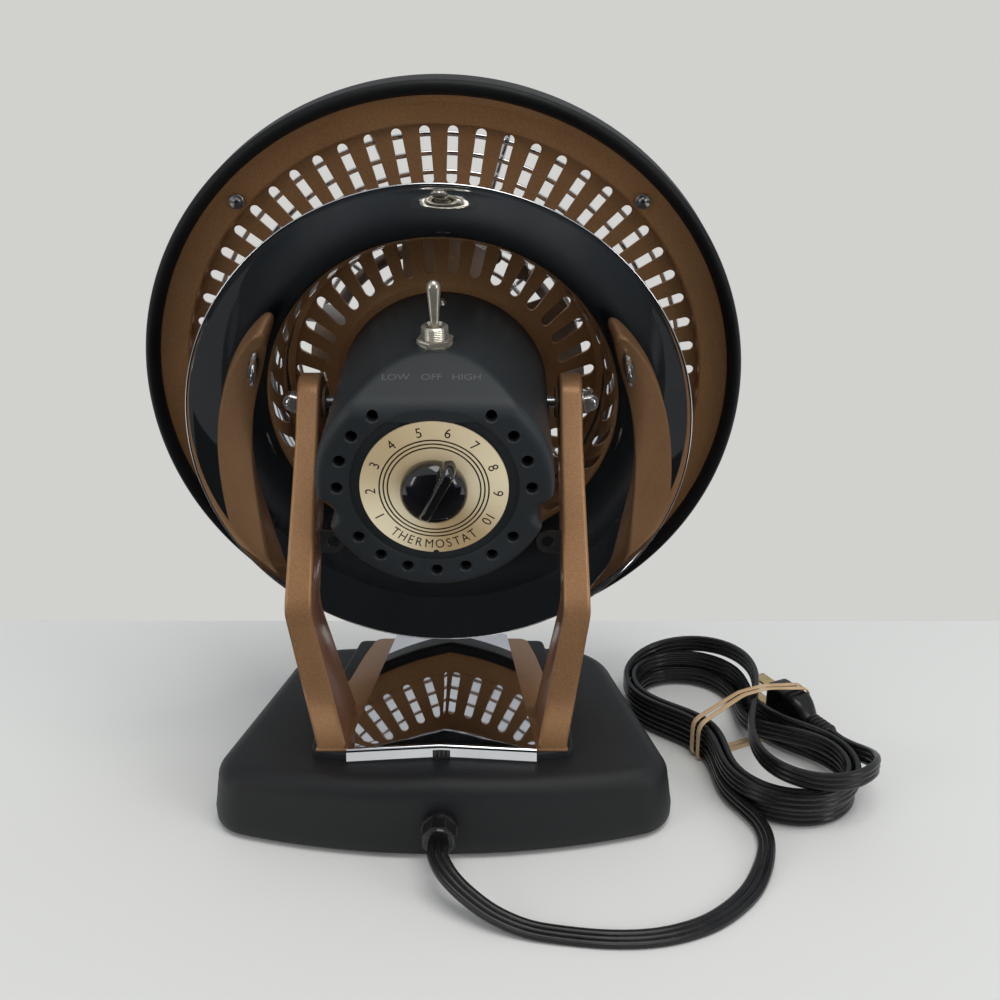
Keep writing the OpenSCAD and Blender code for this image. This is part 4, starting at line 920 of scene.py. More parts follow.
@dataclass
class Fork(Unit):
    """The forked stand: two bent channel arms, their cover strips, the saddle and the bright trim."""

    rounding: float = 1.9
    centre: tuple[float, float] = (2.65, 202.7)
    top_r: float = 14.0
    front_foot: float = -7.0
    rear_foot: float = -48.0
    front_elbow: tuple[float, float] = (-34.14, 114.98)
    rear_elbow: tuple[float, float] = (-58.86, 123.02)
    trim_half: float = 45.9
    trim_front_half: float = 32.0
    trim_rise: float = 2.73
    trim_z: float = 44.45

    def edges(self, z: np.ndarray) -> tuple[np.ndarray, np.ndarray]:
        """Inner and outer x of an arm at given heights: straight between foot, elbow and neck.

        Args:
            z: heights.

        Returns:
            Inner and outer x.
        """
        knots = [FOOT_Z, ELBOW_Z, NECK_Z, ARM_TOP]
        outer = [FOOT_X, ELBOW_X, ARM_OUT, ARM_OUT]
        inner = [FOOT_X - FOOT_WIDE, ELBOW_X - ELBOW_WIDE, ARM_IN, ARM_IN]
        blur = (-2, -1, 0, 1, 2)
        wide = np.stack([np.interp(z + d, knots, outer) for d in blur])
        near = np.stack([np.interp(z + d, knots, inner) for d in blur])
        return near.mean(0), wide.mean(0)

    def chains(self) -> tuple[np.ndarray, np.ndarray]:
        """Front and rear line of an arm seen from the side, as (y, z) points of equal count.

        Returns:
            The two lines, from the foot to the top.
        """
        def touch(p: tuple[float, float], side: int) -> float:
            """Angle on the top's circle where a straight line from a point touches it.

            Args:
                p: the point.
                side: which of the two touching lines.

            Returns:
                The angle in radians.
            """
            dy, dz = self.centre[0] - p[0], self.centre[1] - p[1]
            gap = math.hypot(dy, dz)
            a = side * math.asin(self.top_r / gap)
            t = math.sqrt(gap * gap - self.top_r ** 2) / gap
            return math.atan2(p[1] + t * (dy * math.sin(a) + dz * math.cos(a)) - self.centre[1],
                              p[0] + t * (dy * math.cos(a) - dz * math.sin(a)) - self.centre[0])

        passes, kept = 8, 38
        lines = []
        ends = ((self.front_foot, self.front_elbow, -1), (self.rear_foot, self.rear_elbow, 1))
        for foot, elbow, side in ends:
            a0 = touch(elbow, side)
            if side > 0 and a0 < 0:
                a0 += 2 * math.pi
            arc = arc_points(self.centre, self.top_r, math.degrees(a0), 90.0, 39)
            low = np.stack([np.linspace(foot, elbow[0], 50), np.linspace(FOOT_Z, elbow[1], 50)], -1)
            high = np.stack([np.linspace(elbow[0], arc[0, 0], 60), np.linspace(elbow[1], arc[0, 1], 60)], -1)
            line = np.concatenate([low[:-1], high[:-1], arc])
            smooth = line.copy()
            for _ in range(passes):
                smooth[1:-1] = (smooth[:-2] + 2 * smooth[1:-1] + smooth[2:]) / 4
            smooth[-kept:] = line[-kept:]
            lines.append(smooth)
        return lines[0], lines[1]

    def blank(self, name: str, margin: float, inner: float, outer: float, rounding: float) -> bpy.types.Mesh:
        """A solid between an arm's inner and outer faces with its outline drawn in and its edges rounded.

        Args:
            name: name of the mesh.
            margin: how far the outline is drawn in.
            inner: how far the inner face moves outward.
            outer: how far the outer face moves inward.
            rounding: radius of the edges.

        Returns:
            The mesh, for the arm on the +X side.
        """
        front, rear = self.chains()
        loop = np.concatenate([front, rear[:-1][::-1]])
        ahead = tangents(loop, True)
        normal = np.stack([-ahead[:, 1], ahead[:, 0]], -1)
        normal[0] = (-1.0, 1.0)
        normal[-1] = (1.0, 1.0)
        rows = []
        steps = [(1 - math.sin(a), 1 - math.cos(a)) for a in np.radians(np.linspace(0, 90, 7))]
        for d, x in steps:
            rows.append((margin + rounding * d, rounding * x, 0))
        for d, x in reversed(steps):
            rows.append((margin + rounding * d, rounding * x, 1))
        points = []
        for inset, step, far in rows:
            yz = loop + normal * inset
            near, wide = self.edges(yz[:, 1])
            x = wide - outer - step if far else near + inner + step
            points.append(np.column_stack([x, yz[:, 0] + SHIFT_Y, yz[:, 1]]))
        points = np.stack(points)
        n, m = len(loop), len(front)
        ladder = np.array([[i, i + 1, n - 2 - i, n - 1 - i] for i in range(m - 2)])
        cap = np.array([[m - 2, m - 1, m]])
        last = (len(rows) - 1) * n
        faces = [grid_quads(len(rows), n, False, True), ladder, ladder + last, cap, cap + last]
        mesh = build_mesh(name, points, faces)
        tidy_mesh(mesh)
        return mesh

    def arm(self, side: int) -> None:
        """One arm: the rounded blank with its hollow cut from the inner side.

        Args:
            side: 1 for the +X side, -1 for the other.
        """
        word = "right" if side > 0 else "left"
        mesh = self.blank(f"arm_{word}_channel", 0.0, 0.0, 0.0, self.rounding)
        hollow = self.blank("hollow", ARM_SHEET, -2.0, ARM_SHEET, 0.3)
        obj = self.place(mesh, ARM_BRONZE, (f"arm_{word}",), 50)
        cut(obj, hollow)
        if side < 0:
            obj.data.transform(((-1, 0, 0, 0), (0, 1, 0, 0), (0, 0, 1, 0), (0, 0, 0, 1)))
            obj.data.flip_normals()
        shade(obj.data, 40)

    def build(self) -> None:
        """Builds the fork."""
        lug_x, lug_low, lug_high = 52.5, 130.0, 150.0
        narrow, narrow_from, narrow_run = 0.10, -25.0, 90.0
        self.arm(1)
        self.arm(-1)
        for node in ("liner_right", "liner_left"):
            liner = self.carry(node, LINER, 0.35)
            # The lug faces under the head take the dark plate finish: painted shade.
            liner.data.materials.append(PLATE.material())
            for face in liner.data.polygons:
                x, _, z = face.center / MM
                if abs(x) < lug_x and lug_low < z < lug_high:
                    face.material_index = 1
        saddle = self.carry("saddle", ARM_BRONZE, 0.4)
        for vert in saddle.data.vertices:
            vert.co.x *= 1.0 - narrow * max(0.0, vert.co.y / MM - narrow_from) / narrow_run
        self.carry("arm_spacers", ZINC)
        self.carry("yoke_bolts", ZINC, 0.2)
        self.carry("yoke_nuts", ZINC, 0.3)
        self.trim()

    def trim(self) -> None:
        """The bright sheet between the arms: a low ridge whose rear edge rolls down into a flange.

        Each column of points runs from the front edge along the top, round the roll and down the
        flange, which leans backward, and comes back one sheet thickness below.
        """
        rear, front, roll, lean, low = -60.4, 61.0, 2.1, math.radians(13.0), 7.2
        half, rise, soft = self.trim_half, self.trim_rise, 0.05
        x = np.linspace(-half, half, 61)
        taper = (half - self.trim_front_half) / (front - rear)
        roof = rise - np.sqrt((x * rise / half) ** 2 + soft ** 2)
        turn = np.linspace(0.0, math.pi / 2 - lean, 13)
        line = [(front - d, 0.0) for d in np.linspace(0.0, front - rear - roll, 24)]
        line += [(rear + roll - roll * math.sin(a), roll * math.cos(a) - roll) for a in turn[1:]]
        y0, z0 = line[-1]
        reach = low + z0
        line += [(y0 - k * reach * math.tan(lean), z0 - k * reach) for k in (0.25, 0.5, 0.75, 0.97)]
        line.append((y0 - reach * math.tan(lean) + 0.1, z0 - reach))
        line = np.array(line)
        ahead = tangents(line)
        under = line + np.stack([-ahead[:, 1], ahead[:, 0]], -1)
        section = np.concatenate([line, under[::-1]])
        share = np.clip((section[:, :1] - rear) * taper / half, 0.0, 0.3)
        height = self.trim_z + roof[None] + section[:, 1:]
        points = np.stack([x[None] * (1 - share), section[:, :1] + 0 * x, height], -1)
        ends = np.arange(len(section))[None] * len(x)
        mesh = build_mesh("chrome_trim_piece", points,
                          [grid_quads(len(section), len(x), True, False), ends, ends + len(x) - 1])
        tidy_mesh(mesh)
        self.place(mesh, CHROME, ("chrome_trim",), 40)
        roll_end = -6
        self.ribs(line[roll_end] + [0.0, self.trim_z + 2.0], line[-1] + [0.0, self.trim_z + 2.5])

    def ribs(self, top: np.ndarray, foot: np.ndarray) -> None:
        """The dark ribbed mark in the middle of the flange: four upright ribs.

        Args:
            top: (y, z) of its upper end.
            foot: (y, z) of its lower end.
        """
        half, pitch = 4.2, 2.1
        x = np.linspace(-half, half, 97)
        out = np.array([foot[1] - top[1], top[0] - foot[0]])
        out = out / np.linalg.norm(out)
        lift = 0.22 + 0.45 * np.abs(np.sin(np.pi * (x + half) / pitch))
        fold = -np.abs(x) * self.trim_rise / self.trim_half
        rows = []
        stops = ((0.0, 0.0), (0.05, 1.0), (0.5, 1.0), (0.95, 1.0), (1.0, 0.0), (1.0, -0.6), (0.0, -0.6))
        for share, deep in stops:
            spot = top + (foot - top) * share
            away = lift * deep if deep > 0 else np.full(x.shape, deep * 0.5)
            rows.append(np.column_stack([x, spot[0] + out[0] * away, spot[1] + out[1] * away + fold]))
        points = np.stack(rows)
        ends = np.arange(len(rows))[None] * len(x)
        mesh = build_mesh("trim_ribs", points,
                          [grid_quads(len(rows), len(x), True, False), ends, ends + len(x) - 1])
        tidy_mesh(mesh)
        self.place(mesh, GLAND_BLACK, (), 40)


@dataclass
class HeadShell(Unit):
    """Ring, guard, slotted shell, dish, screws and pivots."""

    def ring(self) -> None:
        """The front ring: a rolled section turned round the head's axis."""
        wall, lip, corner, seat, inner_r = 2.5, 3.0, 8.0, 5.2, RING_R - 12
        profile = np.concatenate([
            [[SHELL_R, 3.6], [SHELL_R + 0.4, 3.0]],
            arc_points((RING_R - lip, lip), lip, 215, 360, 12),
            [[RING_R, 6.0], [RING_R, 9.0], [RING_R, 12.0]],
            arc_points((RING_R - corner, RING_DEPTH - corner), corner, 0, 90, 16),
            [[inner_r + 0.4, RING_DEPTH], [inner_r, RING_DEPTH - 0.4], [inner_r, RING_DEPTH - 2]],
            arc_points((RING_R - corner, RING_DEPTH - corner), corner - wall, 90, 0, 12),
            [[RING_R - wall, seat], [SHELL_R, seat]]])
        self.revolve("front_ring_piece", profile, RING_BLACK, ("front_ring",), 288)

    def dish(self) -> None:
        """The bright dish: a cubic curve from the housing out to a beaded rim, turned round the axis.

        The curve leaves its inner edge along one direction and meets its outer edge along another; its
        two control points lie on these. The sheet's other face is the same curve, offset by the sheet.
        """
        a, b = np.array([DISH_R0, DISH_FRONT]), np.array([DISH_R1, -DISH_BACK])
        leave, arrive = math.radians(-4.79), math.radians(63.55)
        leave_pull, arrive_pull, bead_r, painted_shade_from = 37.94, 33.28, 0.65, -48.5 * MM
        p1 = a + leave_pull * np.array([math.sin(leave), -math.cos(leave)])
        p2 = b - arrive_pull * np.array([math.sin(arrive), -math.cos(arrive)])
        t = np.linspace(0.0, 1.0, 73)[:, None]
        inner = (1 - t) ** 3 * a + 3 * (1 - t) ** 2 * t * p1 + 3 * (1 - t) * t ** 2 * p2 + t ** 3 * b
        ahead = tangents(inner)
        outer = inner + DISH_SHEET * np.stack([-ahead[:, 1], ahead[:, 0]], -1)
        bead = arc_points((DISH_R1 + 0.3, -DISH_BACK), bead_r, -140, 100, 12)
        profile = np.concatenate([[[DISH_R0 - 0.8, DISH_FRONT], [DISH_R0 - 0.3, DISH_FRONT]], inner[1:-1], bead,
                                  outer[::-1][1:-2], [[DISH_R0 - 0.8, DISH_FRONT + DISH_SHEET]]])
        dish = self.revolve("dish_piece", profile, CHROME, ("chrome_dish",), 320, angle=50)
        # Outward faces inside the shell take the darkened back: painted shade seen through the slots.
        dish.data.materials.append(DISH_BACK_SHADED_STEEL.material())
        axis = Vector(head_points(np.zeros(3)) * MM)
        ahead = (Vector(head_points(np.array([0.0, 0.0, 100.0])) * MM) - axis).normalized()
        for face in dish.data.polygons:
            spot = face.center - axis
            level = spot.dot(ahead)
            if face.normal.dot(spot - ahead * level) > 0 and level > painted_shade_from:
                face.material_index = 1

    def screws(self) -> None:
        """Pan-head screws of the shell with cross recesses."""
        spot_r, seat = 134.5, 7.9
        head = np.concatenate([[[0, 2.4]], arc_points((0, -0.6), 3.0, 88, 45, 6),
                               arc_points((2.9, 0.75), 0.7, 60, 0, 4), [[3.6, 0.0], [0, 0.0]]])
        for k, turn in zip(range(4), (0.3, 1.1, 0.6, 0.9)):
            a = math.radians(45 + 90 * k)
            centre = np.array([spot_r * math.sin(a), spot_r * math.cos(a), seat])
            place = self.screw_place(centre, turn)
            mesh = plain_spin(f"shell_screw_{k}", head, 48, place)
            obj = self.place(mesh, ZINC, ("shell_screws",) if k == 0 else ())
            cut(obj, cross_cutter(place, 2.4, 1.1, 0.62, 1.9))
            shade(obj.data, 35)

    @staticmethod
    def screw_place(centre: np.ndarray, turn: float) -> Callable[[np.ndarray], np.ndarray]:
        """Function that sets a screw head on the shell, facing back.

        Args:
            centre: seat of the head in the head's coordinates.
            turn: turn of the recess in radians.

        Returns:
            The placing function.
        """
        def place(p: np.ndarray) -> np.ndarray:
            """Turns (across, along, height) points on the axis and sets them on the seat.

            Args:
                p: the points.

            Returns:
                Points in the row frame.
            """
            c, s = math.cos(turn), math.sin(turn)
            q = np.stack([p[..., 0] * c - p[..., 1] * s, p[..., 0] * s + p[..., 1] * c, -p[..., 2]], -1)
            return head_points(q + centre)

        return place

    def build(self) -> None:
        """Builds the shell group."""
        self.ring()
        self.dish()
        self.carry("rear_shell", BRONZE, angle=28)
        self.screws()
        for node in ("guard_spokes", "guard_rings"):
            self.carry(node, WIRE, angle=60)
        self.carry("guard_cap", CHROME)
        self.carry("pivot_studs", ZINC)
        self.carry("pivot_washers", FIBRE)
        self.carry("nut_washers", ZINC, 0.15)
        self.carry("acorn_nuts", NUT, 0.25, 40)


def cross_cutter(place: Callable[[np.ndarray], np.ndarray], length: float, width: float, depth: float,
                 top: float) -> bpy.types.Mesh:
    """Cutter for a cross recess: two bars that narrow downward.

    Args:
        place: function that places (across, along, height) points.
        length: span of a bar.
        width: width of a bar.
        depth: depth of the recess below the top.
        top: height of the head's top.

    Returns:
        The cutter's mesh.
    """
    bm = bmesh.new()
    for turn in (0.0, math.pi / 2):
        c, s = math.cos(turn), math.sin(turn)
        points = []
        for z, k in ((top - depth, 0.55), (top + 1.5, 1.0)):
            for x, y in ((-1, -1), (1, -1), (1, 1), (-1, 1)):
                px, py = x * length / 2 * k, y * width / 2 * (0.6 + 0.4 * k)
                points.append((px * c - py * s, px * s + py * c, z))
        verts = [bm.verts.new(v) for v in place(np.array(points)) * MM]
        for face in ((3, 2, 1, 0), (4, 5, 6, 7), (0, 1, 5, 4), (1, 2, 6, 5), (2, 3, 7, 6), (3, 0, 4, 7)):
            bm.faces.new([verts[i] for i in face])
    bmesh.ops.recalc_face_normals(bm, faces=bm.faces)
    return gather(bm, "cross")


@dataclass
class ControlHousing(Unit):
    """The can with its slope, side notches, vent holes and sunk ring, and the dial."""

    steps: int = 480

    @staticmethod
    def radius(a: np.ndarray, s: float) -> np.ndarray:
        """Radius of the outside at one level.

        The surface is where the softly rounded largest of three distances is nought: the distance from
        the cylinder, the height over the slope and the depth inside a notch. It is found along each
        ray by halving.

        Args:
            a: angles from the top.
            s: level, forward of the ring's rear plane.

        Returns:
            Radii.
        """
        notch_turn, notch_mid, notch_r, notch_front = 1.85, 53.5, 7.0, 71.5
        low, high = np.full(a.shape, 30.0), np.full(a.shape, 54.0)
        slope = CAN_R - SLOPE_DROP * (-SLOPE_BACK - s) / SLOPE_RUN
        lean = math.cos(math.atan(SLOPE_DROP / SLOPE_RUN))
        for _ in range(28):
            r = (low + high) / 2
            f = r - CAN_R
            up = r * np.cos(a) - slope
            f = soft_max(f, up * lean, 1.6) if s < -SLOPE_BACK + 3 else f
            for a0 in (-notch_turn, notch_turn):
                across = r * np.sin(a) - notch_mid * math.sin(a0)
                along = r * np.cos(a) - notch_mid * math.cos(a0)
                inside = -soft_max(np.hypot(across, along) - notch_r, np.full(a.shape, s + notch_front), 2.0)
                f = soft_max(f, inside, 3.2)
            out = f > 0
            high = np.where(out, r, high)
            low = np.where(out, low, r)
        return (low + high) / 2

    def can(self) -> None:
        """The can itself, as rings of points from its front edge over the back and inside again."""
        corner, well_r, shaft_r = 6.0, 30.0, 3.2
        a = np.linspace(0, 2 * math.pi, self.steps, endpoint=False)
        levels = np.concatenate([np.linspace(CAN_FRONT, -60, 18), np.linspace(-61, -CAN_BACK + corner, 34)])
        rings: list[tuple[np.ndarray, np.ndarray]] = []
        for s in levels:
            rings.append((self.radius(a, s), np.full(a.shape, s)))
        for t in np.radians(np.linspace(10, 90, 9)):
            s = -CAN_BACK + corner - corner * math.sin(t)
            rings.append((self.radius(a, s) - corner + corner * math.cos(t), np.full(a.shape, s)))
        edge = rings[-1][0]
        for k in (0.3, 0.6, 0.85):
            rings.append((edge + (RECESS_R + 0.6 - edge) * k, np.full(a.shape, -CAN_BACK)))
        floor = -CAN_BACK + RECESS_DEPTH
        for r, s in ((RECESS_R + 0.6, -CAN_BACK), (RECESS_R + 0.25, -CAN_BACK + 0.1),
                     (RECESS_R, -CAN_BACK + 0.45), (RECESS_R - 0.1, floor - 0.5),
                     (RECESS_R - 0.4, floor - 0.1), (RECESS_R - 0.9, floor),
                     (well_r + 0.4, floor), (well_r + 0.1, floor - 0.2), (well_r, floor - 1.45),
                     (well_r - 1, floor - 1.5), (shaft_r, floor - 1.5), (shaft_r, floor + CAN_WALL)):
            rings.append((np.full(a.shape, r), np.full(a.shape, s)))
        for s in (floor + CAN_WALL, -84.0, -72.0, -SLOPE_BACK):
            rings.append((self.radius(a, s) - CAN_WALL, np.full(a.shape, s)))
        rings.append((np.full(a.shape, CAN_R - CAN_WALL), np.full(a.shape, CAN_FRONT)))
        r = np.stack([x[0] for x in rings])
        s = np.stack([x[1] for x in rings])
        points = np.stack([r * np.sin(a), r * np.cos(a), s], -1)
        mesh = build_mesh("control_housing_piece", head_points(points),
                          [grid_quads(len(rings), self.steps, True, True)])
        tidy_mesh(mesh)
        obj = self.place(mesh, CAN_BLACK, ("control_housing",), 40)
        cut(obj, self.cutters())
        shade(obj.data, 40)

    def cutters(self) -> bpy.types.Mesh:
        """Cutters for the vent holes and the toggle's flat seat.

        Returns:
            One mesh of separate closed solids.
        """
        bm = bmesh.new()
        hole = np.array([[0, 6.0], [3.1, 6.0], [3.1, 0.0], [2.5, -0.6], [2.5, -8.0], [0, -8.0]])
        vent_r, places, left_out = 42.0, 20, (0, 1, 6, 14, 19)
        for i in (k for k in range(places) if k not in left_out):
            t = 2 * math.pi * i / places
            mid = np.array([vent_r * math.sin(t), vent_r * math.cos(t), -CAN_BACK])
            bm.from_mesh(plain_spin("hole", hole, 40, HeadShell.screw_place(mid, 0.0)))
        seat = np.array([[0, 8.0], [10.5, 8.0], [10.5, 0.0], [0, 0.0]])
        bm.from_mesh(plain_spin("seat", seat, 64, Toggle.up_place))
        return gather(bm, "cutters")

    def dial(self) -> None:
        """The brass plate with its printed circles and characters."""
        back, front = -DIAL_BACK, -DIAL_BACK + 1.2
        profile = np.array([[3.4, front], [3.4, back], [DIAL_R - 0.5, back], [DIAL_R - 0.1, back + 0.12],
                            [DIAL_R, back + 0.4], [DIAL_R, front]])
        mesh = build_mesh("dial_piece", head_points(spin(profile, 200)), [grid_quads(6, 200, True, True)])
        tidy_mesh(mesh)
        obj = self.place(mesh, BRASS, ("dial_plate",), 30)
        notch = np.array([[0, 3.0], [1.35, 3.0], [1.35, -3.0], [0, -3.0]])
        cut(obj, plain_spin("notch", notch, 32, HeadShell.screw_place(np.array([0, -DIAL_R, back]), 0.0)))
        shade(obj.data, 30)
        for k, (r0, r1) in enumerate(((19.7, 20.35), (21.45, 22.1), (23.2, 23.85))):
            line = np.array([[r0, back + 0.05], [r0, back - 0.03], [r1, back - 0.03], [r1, back + 0.05]])
            self.revolve(f"dial_line_{k}", line, INK, steps=200, angle=30)
        marks_r, first, sweep = 27.5, 219.5, 75.5
        marks = Lettering(DialPlane(-DIAL_BACK - 0.04))
        angles = (-119, -92, -65, -39.4, -12, 13.8, 40.2, 67.5, 94.2, 123.4)
        for number, angle in zip(range(1, 11), angles):
            marks.on_circle(str(number), marks_r, math.radians(angle), 6.4, outward=True, squeeze=0.92)
        widths = np.array([1.0, 1.12, 0.98, 1.08, 1.32, 1.22, 0.98, 1.0, 1.12, 1.0])
        centres = np.cumsum(widths) - widths / 2
        spots = first - (centres - centres[0]) / (centres[-1] - centres[0]) * sweep
        for letter, angle in zip("THERMOSTAT", spots):
            marks.on_circle(letter, marks_r, math.radians(angle), 6.3, outward=False, squeeze=0.84)
        self.place(marks.mesh("dial_marks"), INK, (), 30)

    def legend(self) -> None:
        """The pale words by the toggle, printed on the slope."""
        marks = Lettering(SlopePlane())
        for word, x in (("LOW", -15.6), ("OFF", -0.6), ("HIGH", 14.2)):
            marks.line(word, x, -2.0, 4.6)
        self.place(marks.mesh("legend_marks"), PALE_INK, (), 30)

    def build(self) -> None:
        """Builds the housing group."""
        self.can()
        self.dial()
        self.legend()
        self.carry("housing_screws", ZINC)
        self.carry("thermostat_body", CREAM, 0.3)
        self.carry("switch_body", GLOSS_BLACK, 0.3)
        self.carry("motor_stator", STACK)
        self.carry("motor_coil", COPPER, 0.5)
        self.carry("motor_bracket_rear", ZINC)
        self.carry("motor_bracket_front", ZINC)
        self.carry("motor_pillars", ZINC)
        self.carry("element_bracket", ZINC)
        self.carry("element_inner", SHEATH, angle=50)
        self.carry("element_outer", SHEATH, angle=50)
        self.carry("thermal_cutout", ZINC)


@dataclass(frozen=True)
class DialPlane:
    """The dial's plane: points (right, up) at one level behind the ring."""

    level: float

    def place(self, flat: np.ndarray) -> np.ndarray:
        """Places flat points.

        Args:
            flat: array of (right, up).

        Returns:
            Points in the row frame in millimetres.
        """
        return head_points(np.column_stack([flat, np.full(len(flat), self.level)]))


@dataclass(frozen=True)
class SlopePlane:
    """The slope on top of the housing: origin on its middle line, up along the slope."""

    level: float = -80.0
    lift: float = 0.06

    def place(self, flat: np.ndarray) -> np.ndarray:
        """Places flat points on the slope.

        Args:
            flat: array of (right, up the slope).

        Returns:
            Points in the row frame in millimetres.
        """
        run, rise = SLOPE_RUN, SLOPE_DROP
        size = math.hypot(run, rise)
        up0 = CAN_R - rise * (-SLOPE_BACK - self.level) / run
        up = up0 + flat[:, 1] * rise / size + self.lift * run / size
        ahead = self.level + flat[:, 1] * run / size - self.lift * rise / size
        return head_points(np.column_stack([flat[:, 0], up, ahead]))


@dataclass
class Lettering:
    """Characters gathered in one mesh on a plane."""

    plane: DialPlane | SlopePlane
    parts: list[tuple[np.ndarray, list[tuple[int, ...]]]] = field(default_factory=list)

    def glyph(self, text: str, size: float) -> tuple[np.ndarray, list[tuple[int, ...]]]:
        """Flat mesh of a text, centred on its own box.

        Args:
            text: characters.
            size: height of the font in millimetres.

        Returns:
            Flat points and faces.
        """
        curve = bpy.data.curves.new("glyph", "FONT")
        curve.body = text
        curve.size = size
        curve.resolution_u = 6
        obj = add_object("glyph", curve)
        graph = bpy.context.evaluated_depsgraph_get()
        mesh = bpy.data.meshes.new_from_object(obj.evaluated_get(graph))
        points = np.empty(len(mesh.vertices) * 3, np.float32)
        mesh.vertices.foreach_get("co", points)
        flat = points.reshape(-1, 3)[:, :2].astype(float)
        faces = [tuple(p.vertices) for p in mesh.polygons]
        bpy.data.objects.remove(obj)
        bpy.data.meshes.remove(mesh)
        flat -= (flat.max(0) + flat.min(0)) / 2
        return flat, faces

    def on_circle(self, text: str, radius: float, angle: float, size: float, outward: bool,
                  squeeze: float = 1.0) -> None:
        """Sets a text on a circle.

        Args:
            text: characters.
            radius: radius of the circle through the text's middle.
            angle: clockwise from the top.
            size: font size.
            outward: whether its top points away from the centre.
            squeeze: share of its full width.
        """
        flat, faces = self.glyph(text, size)
        sign = 1.0 if outward else -1.0
        up = np.array([math.sin(angle), math.cos(angle)]) * sign
        right = np.array([math.cos(angle), -math.sin(angle)]) * sign
        centre = radius * np.array([math.sin(angle), math.cos(angle)])
        self.parts.append((centre + flat[:, :1] * squeeze * right + flat[:, 1:] * up, faces))

    def line(self, text: str, x: float, y: float, size: float) -> None:
        """Sets a text on a straight line.

        Args:
            text: characters.
            x: middle of the text.
            y: its height.
            size: font size.
        """
        stretch = 1.12
        flat, faces = self.glyph(text, size)
        self.parts.append((flat * [stretch, 1.0] + [x, y], faces))

    def mesh(self, name: str) -> bpy.types.Mesh:
        """Joins the characters.

        Args:
            name: name of the mesh.

        Returns:
            One mesh in the row frame.
        """
        points, faces, base = [], [], 0
        for flat, polys in self.parts:
            points.append(self.plane.place(flat) * MM)
            faces.extend(tuple(i + base for i in p) for p in polys)
            base += len(flat)
        mesh = bpy.data.meshes.new(name)
        mesh.from_pydata(np.concatenate(points).tolist(), [], faces)
        mesh.update()
        return mesh


@dataclass
class Knob(Unit):
    """Thermostat knob: a dome with a raised pointer bar."""

    face: float = -DIAL_BACK - 0.5

    def turned(self, p: np.ndarray) -> np.ndarray:
        """Places (across, along the pointer, height) points of the knob.

        Args:
            p: points.

        Returns:
            Points in the row frame.
        """
        c, s = math.cos(KNOB_ANGLE), math.sin(KNOB_ANGLE)
        x = p[..., 0] * c + p[..., 1] * s
        y = -p[..., 0] * s + p[..., 1] * c
        return head_points(np.stack([x, y, self.face - p[..., 2]], -1))

    def build(self) -> None:
        """Builds the knob."""
        dome_r, skirt, dome_rise = 14.5, 2.2, 8.8
        t = np.radians(np.linspace(0, 90, 24))
        dome = np.column_stack([dome_r * np.cos(t), skirt + dome_rise * np.sin(t)])
        profile = np.concatenate([[[0, 0], [dome_r - 0.3, 0], [dome_r, 0.3]], dome])
        self.place(plain_spin("knob_dome", profile, 128, self.turned), GLOSS_BLACK, ("knob",), 50)
        self.place(self.bar(), GLOSS_BLACK, (), 60)
        self.carry("knob_shaft", ZINC)

    def bar(self) -> bpy.types.Mesh:
        """The pointer bar: rounded sections along its length, with flutes towards the pointer.

        Each section is a superellipse. Its half width and height follow the length, and both shrink to
        nothing at the two rounded ends.

        Returns:
            The mesh.
        """
        n, m = 90, 48
        tail, tip, middle, reach = -12, 19, 3.6, 15.4
        u = np.sin(np.linspace(-math.pi / 2, math.pi / 2, n))
        t = middle + reach * u
        end = np.clip(1 - np.abs(u) ** 7, 0, None) ** 0.5
        top = np.interp(t, [tail, tip], [13.6, 16.6]) * (0.45 + 0.55 * end)
        half = np.interp(t, [tail, 4, tip], [3.3, 3.5, 4.0])
        half = half * (1 + 0.05 * np.cos(t * 3.6) * smooth_step((t - 5) / 4)) * end
        a = np.linspace(0, 2 * math.pi, m, endpoint=False)
        cx = np.sign(np.cos(a)) * np.abs(np.cos(a)) ** 0.6
        cz = np.sign(np.sin(a)) * np.abs(np.sin(a)) ** 0.6
        low = np.interp(t, [tail, -6, 12, tip], [2.5, 0.8, 0.8, 3.0])
        mid, rise = (top + low) / 2, (top - low) / 2 * end
        taper = 1 - 0.28 * (cz + 1) / 2
        x = half[:, None] * cx * taper
        z = mid[:, None] + rise[:, None] * cz
        points = np.stack([x, t[:, None] + 0 * a, z], -1)
        mesh = build_mesh("knob_bar", self.turned(points), [grid_quads(n, m, False, True)])
        tidy_mesh(mesh, WELD)
        return mesh


@dataclass
class Toggle(Unit):
    """Switch lever."""

    @staticmethod
    def up_place(p: np.ndarray) -> np.ndarray:
        """Places (across, along, height) points over the toggle's seat.

        Args:
            p: points whose height is over the seat.

        Returns:
            Points in the row frame.
        """
        return head_points(np.stack([p[..., 0], p[..., 2] + TOGGLE_SEAT, p[..., 1] - TOGGLE_BACK], -1))

    def lever(self) -> None:
        """The lever: a tapered stalk that widens to a rounded tip."""
        base, tip_r, tip_z, tip_rise = 4.5, 3.05, 20.5, 3.8
        t = np.radians(np.linspace(0, 90, 14))
        ball = arc_points((0.0, base), 3.1, -90, 50, 13)
        tip = np.column_stack([tip_r * np.cos(t), base + tip_z + tip_rise * np.sin(t)])
        profile = np.concatenate([ball, [[1.85, base + 3.2], [1.9, base + 6], [2.3, base + 12]], tip])
        self.place(plain_spin("toggle_lever_piece", profile, 64, self.up_place), NICKEL, ("toggle_lever",), 40)

    def build(self) -> None:
        """Builds the lever."""
        self.lever()


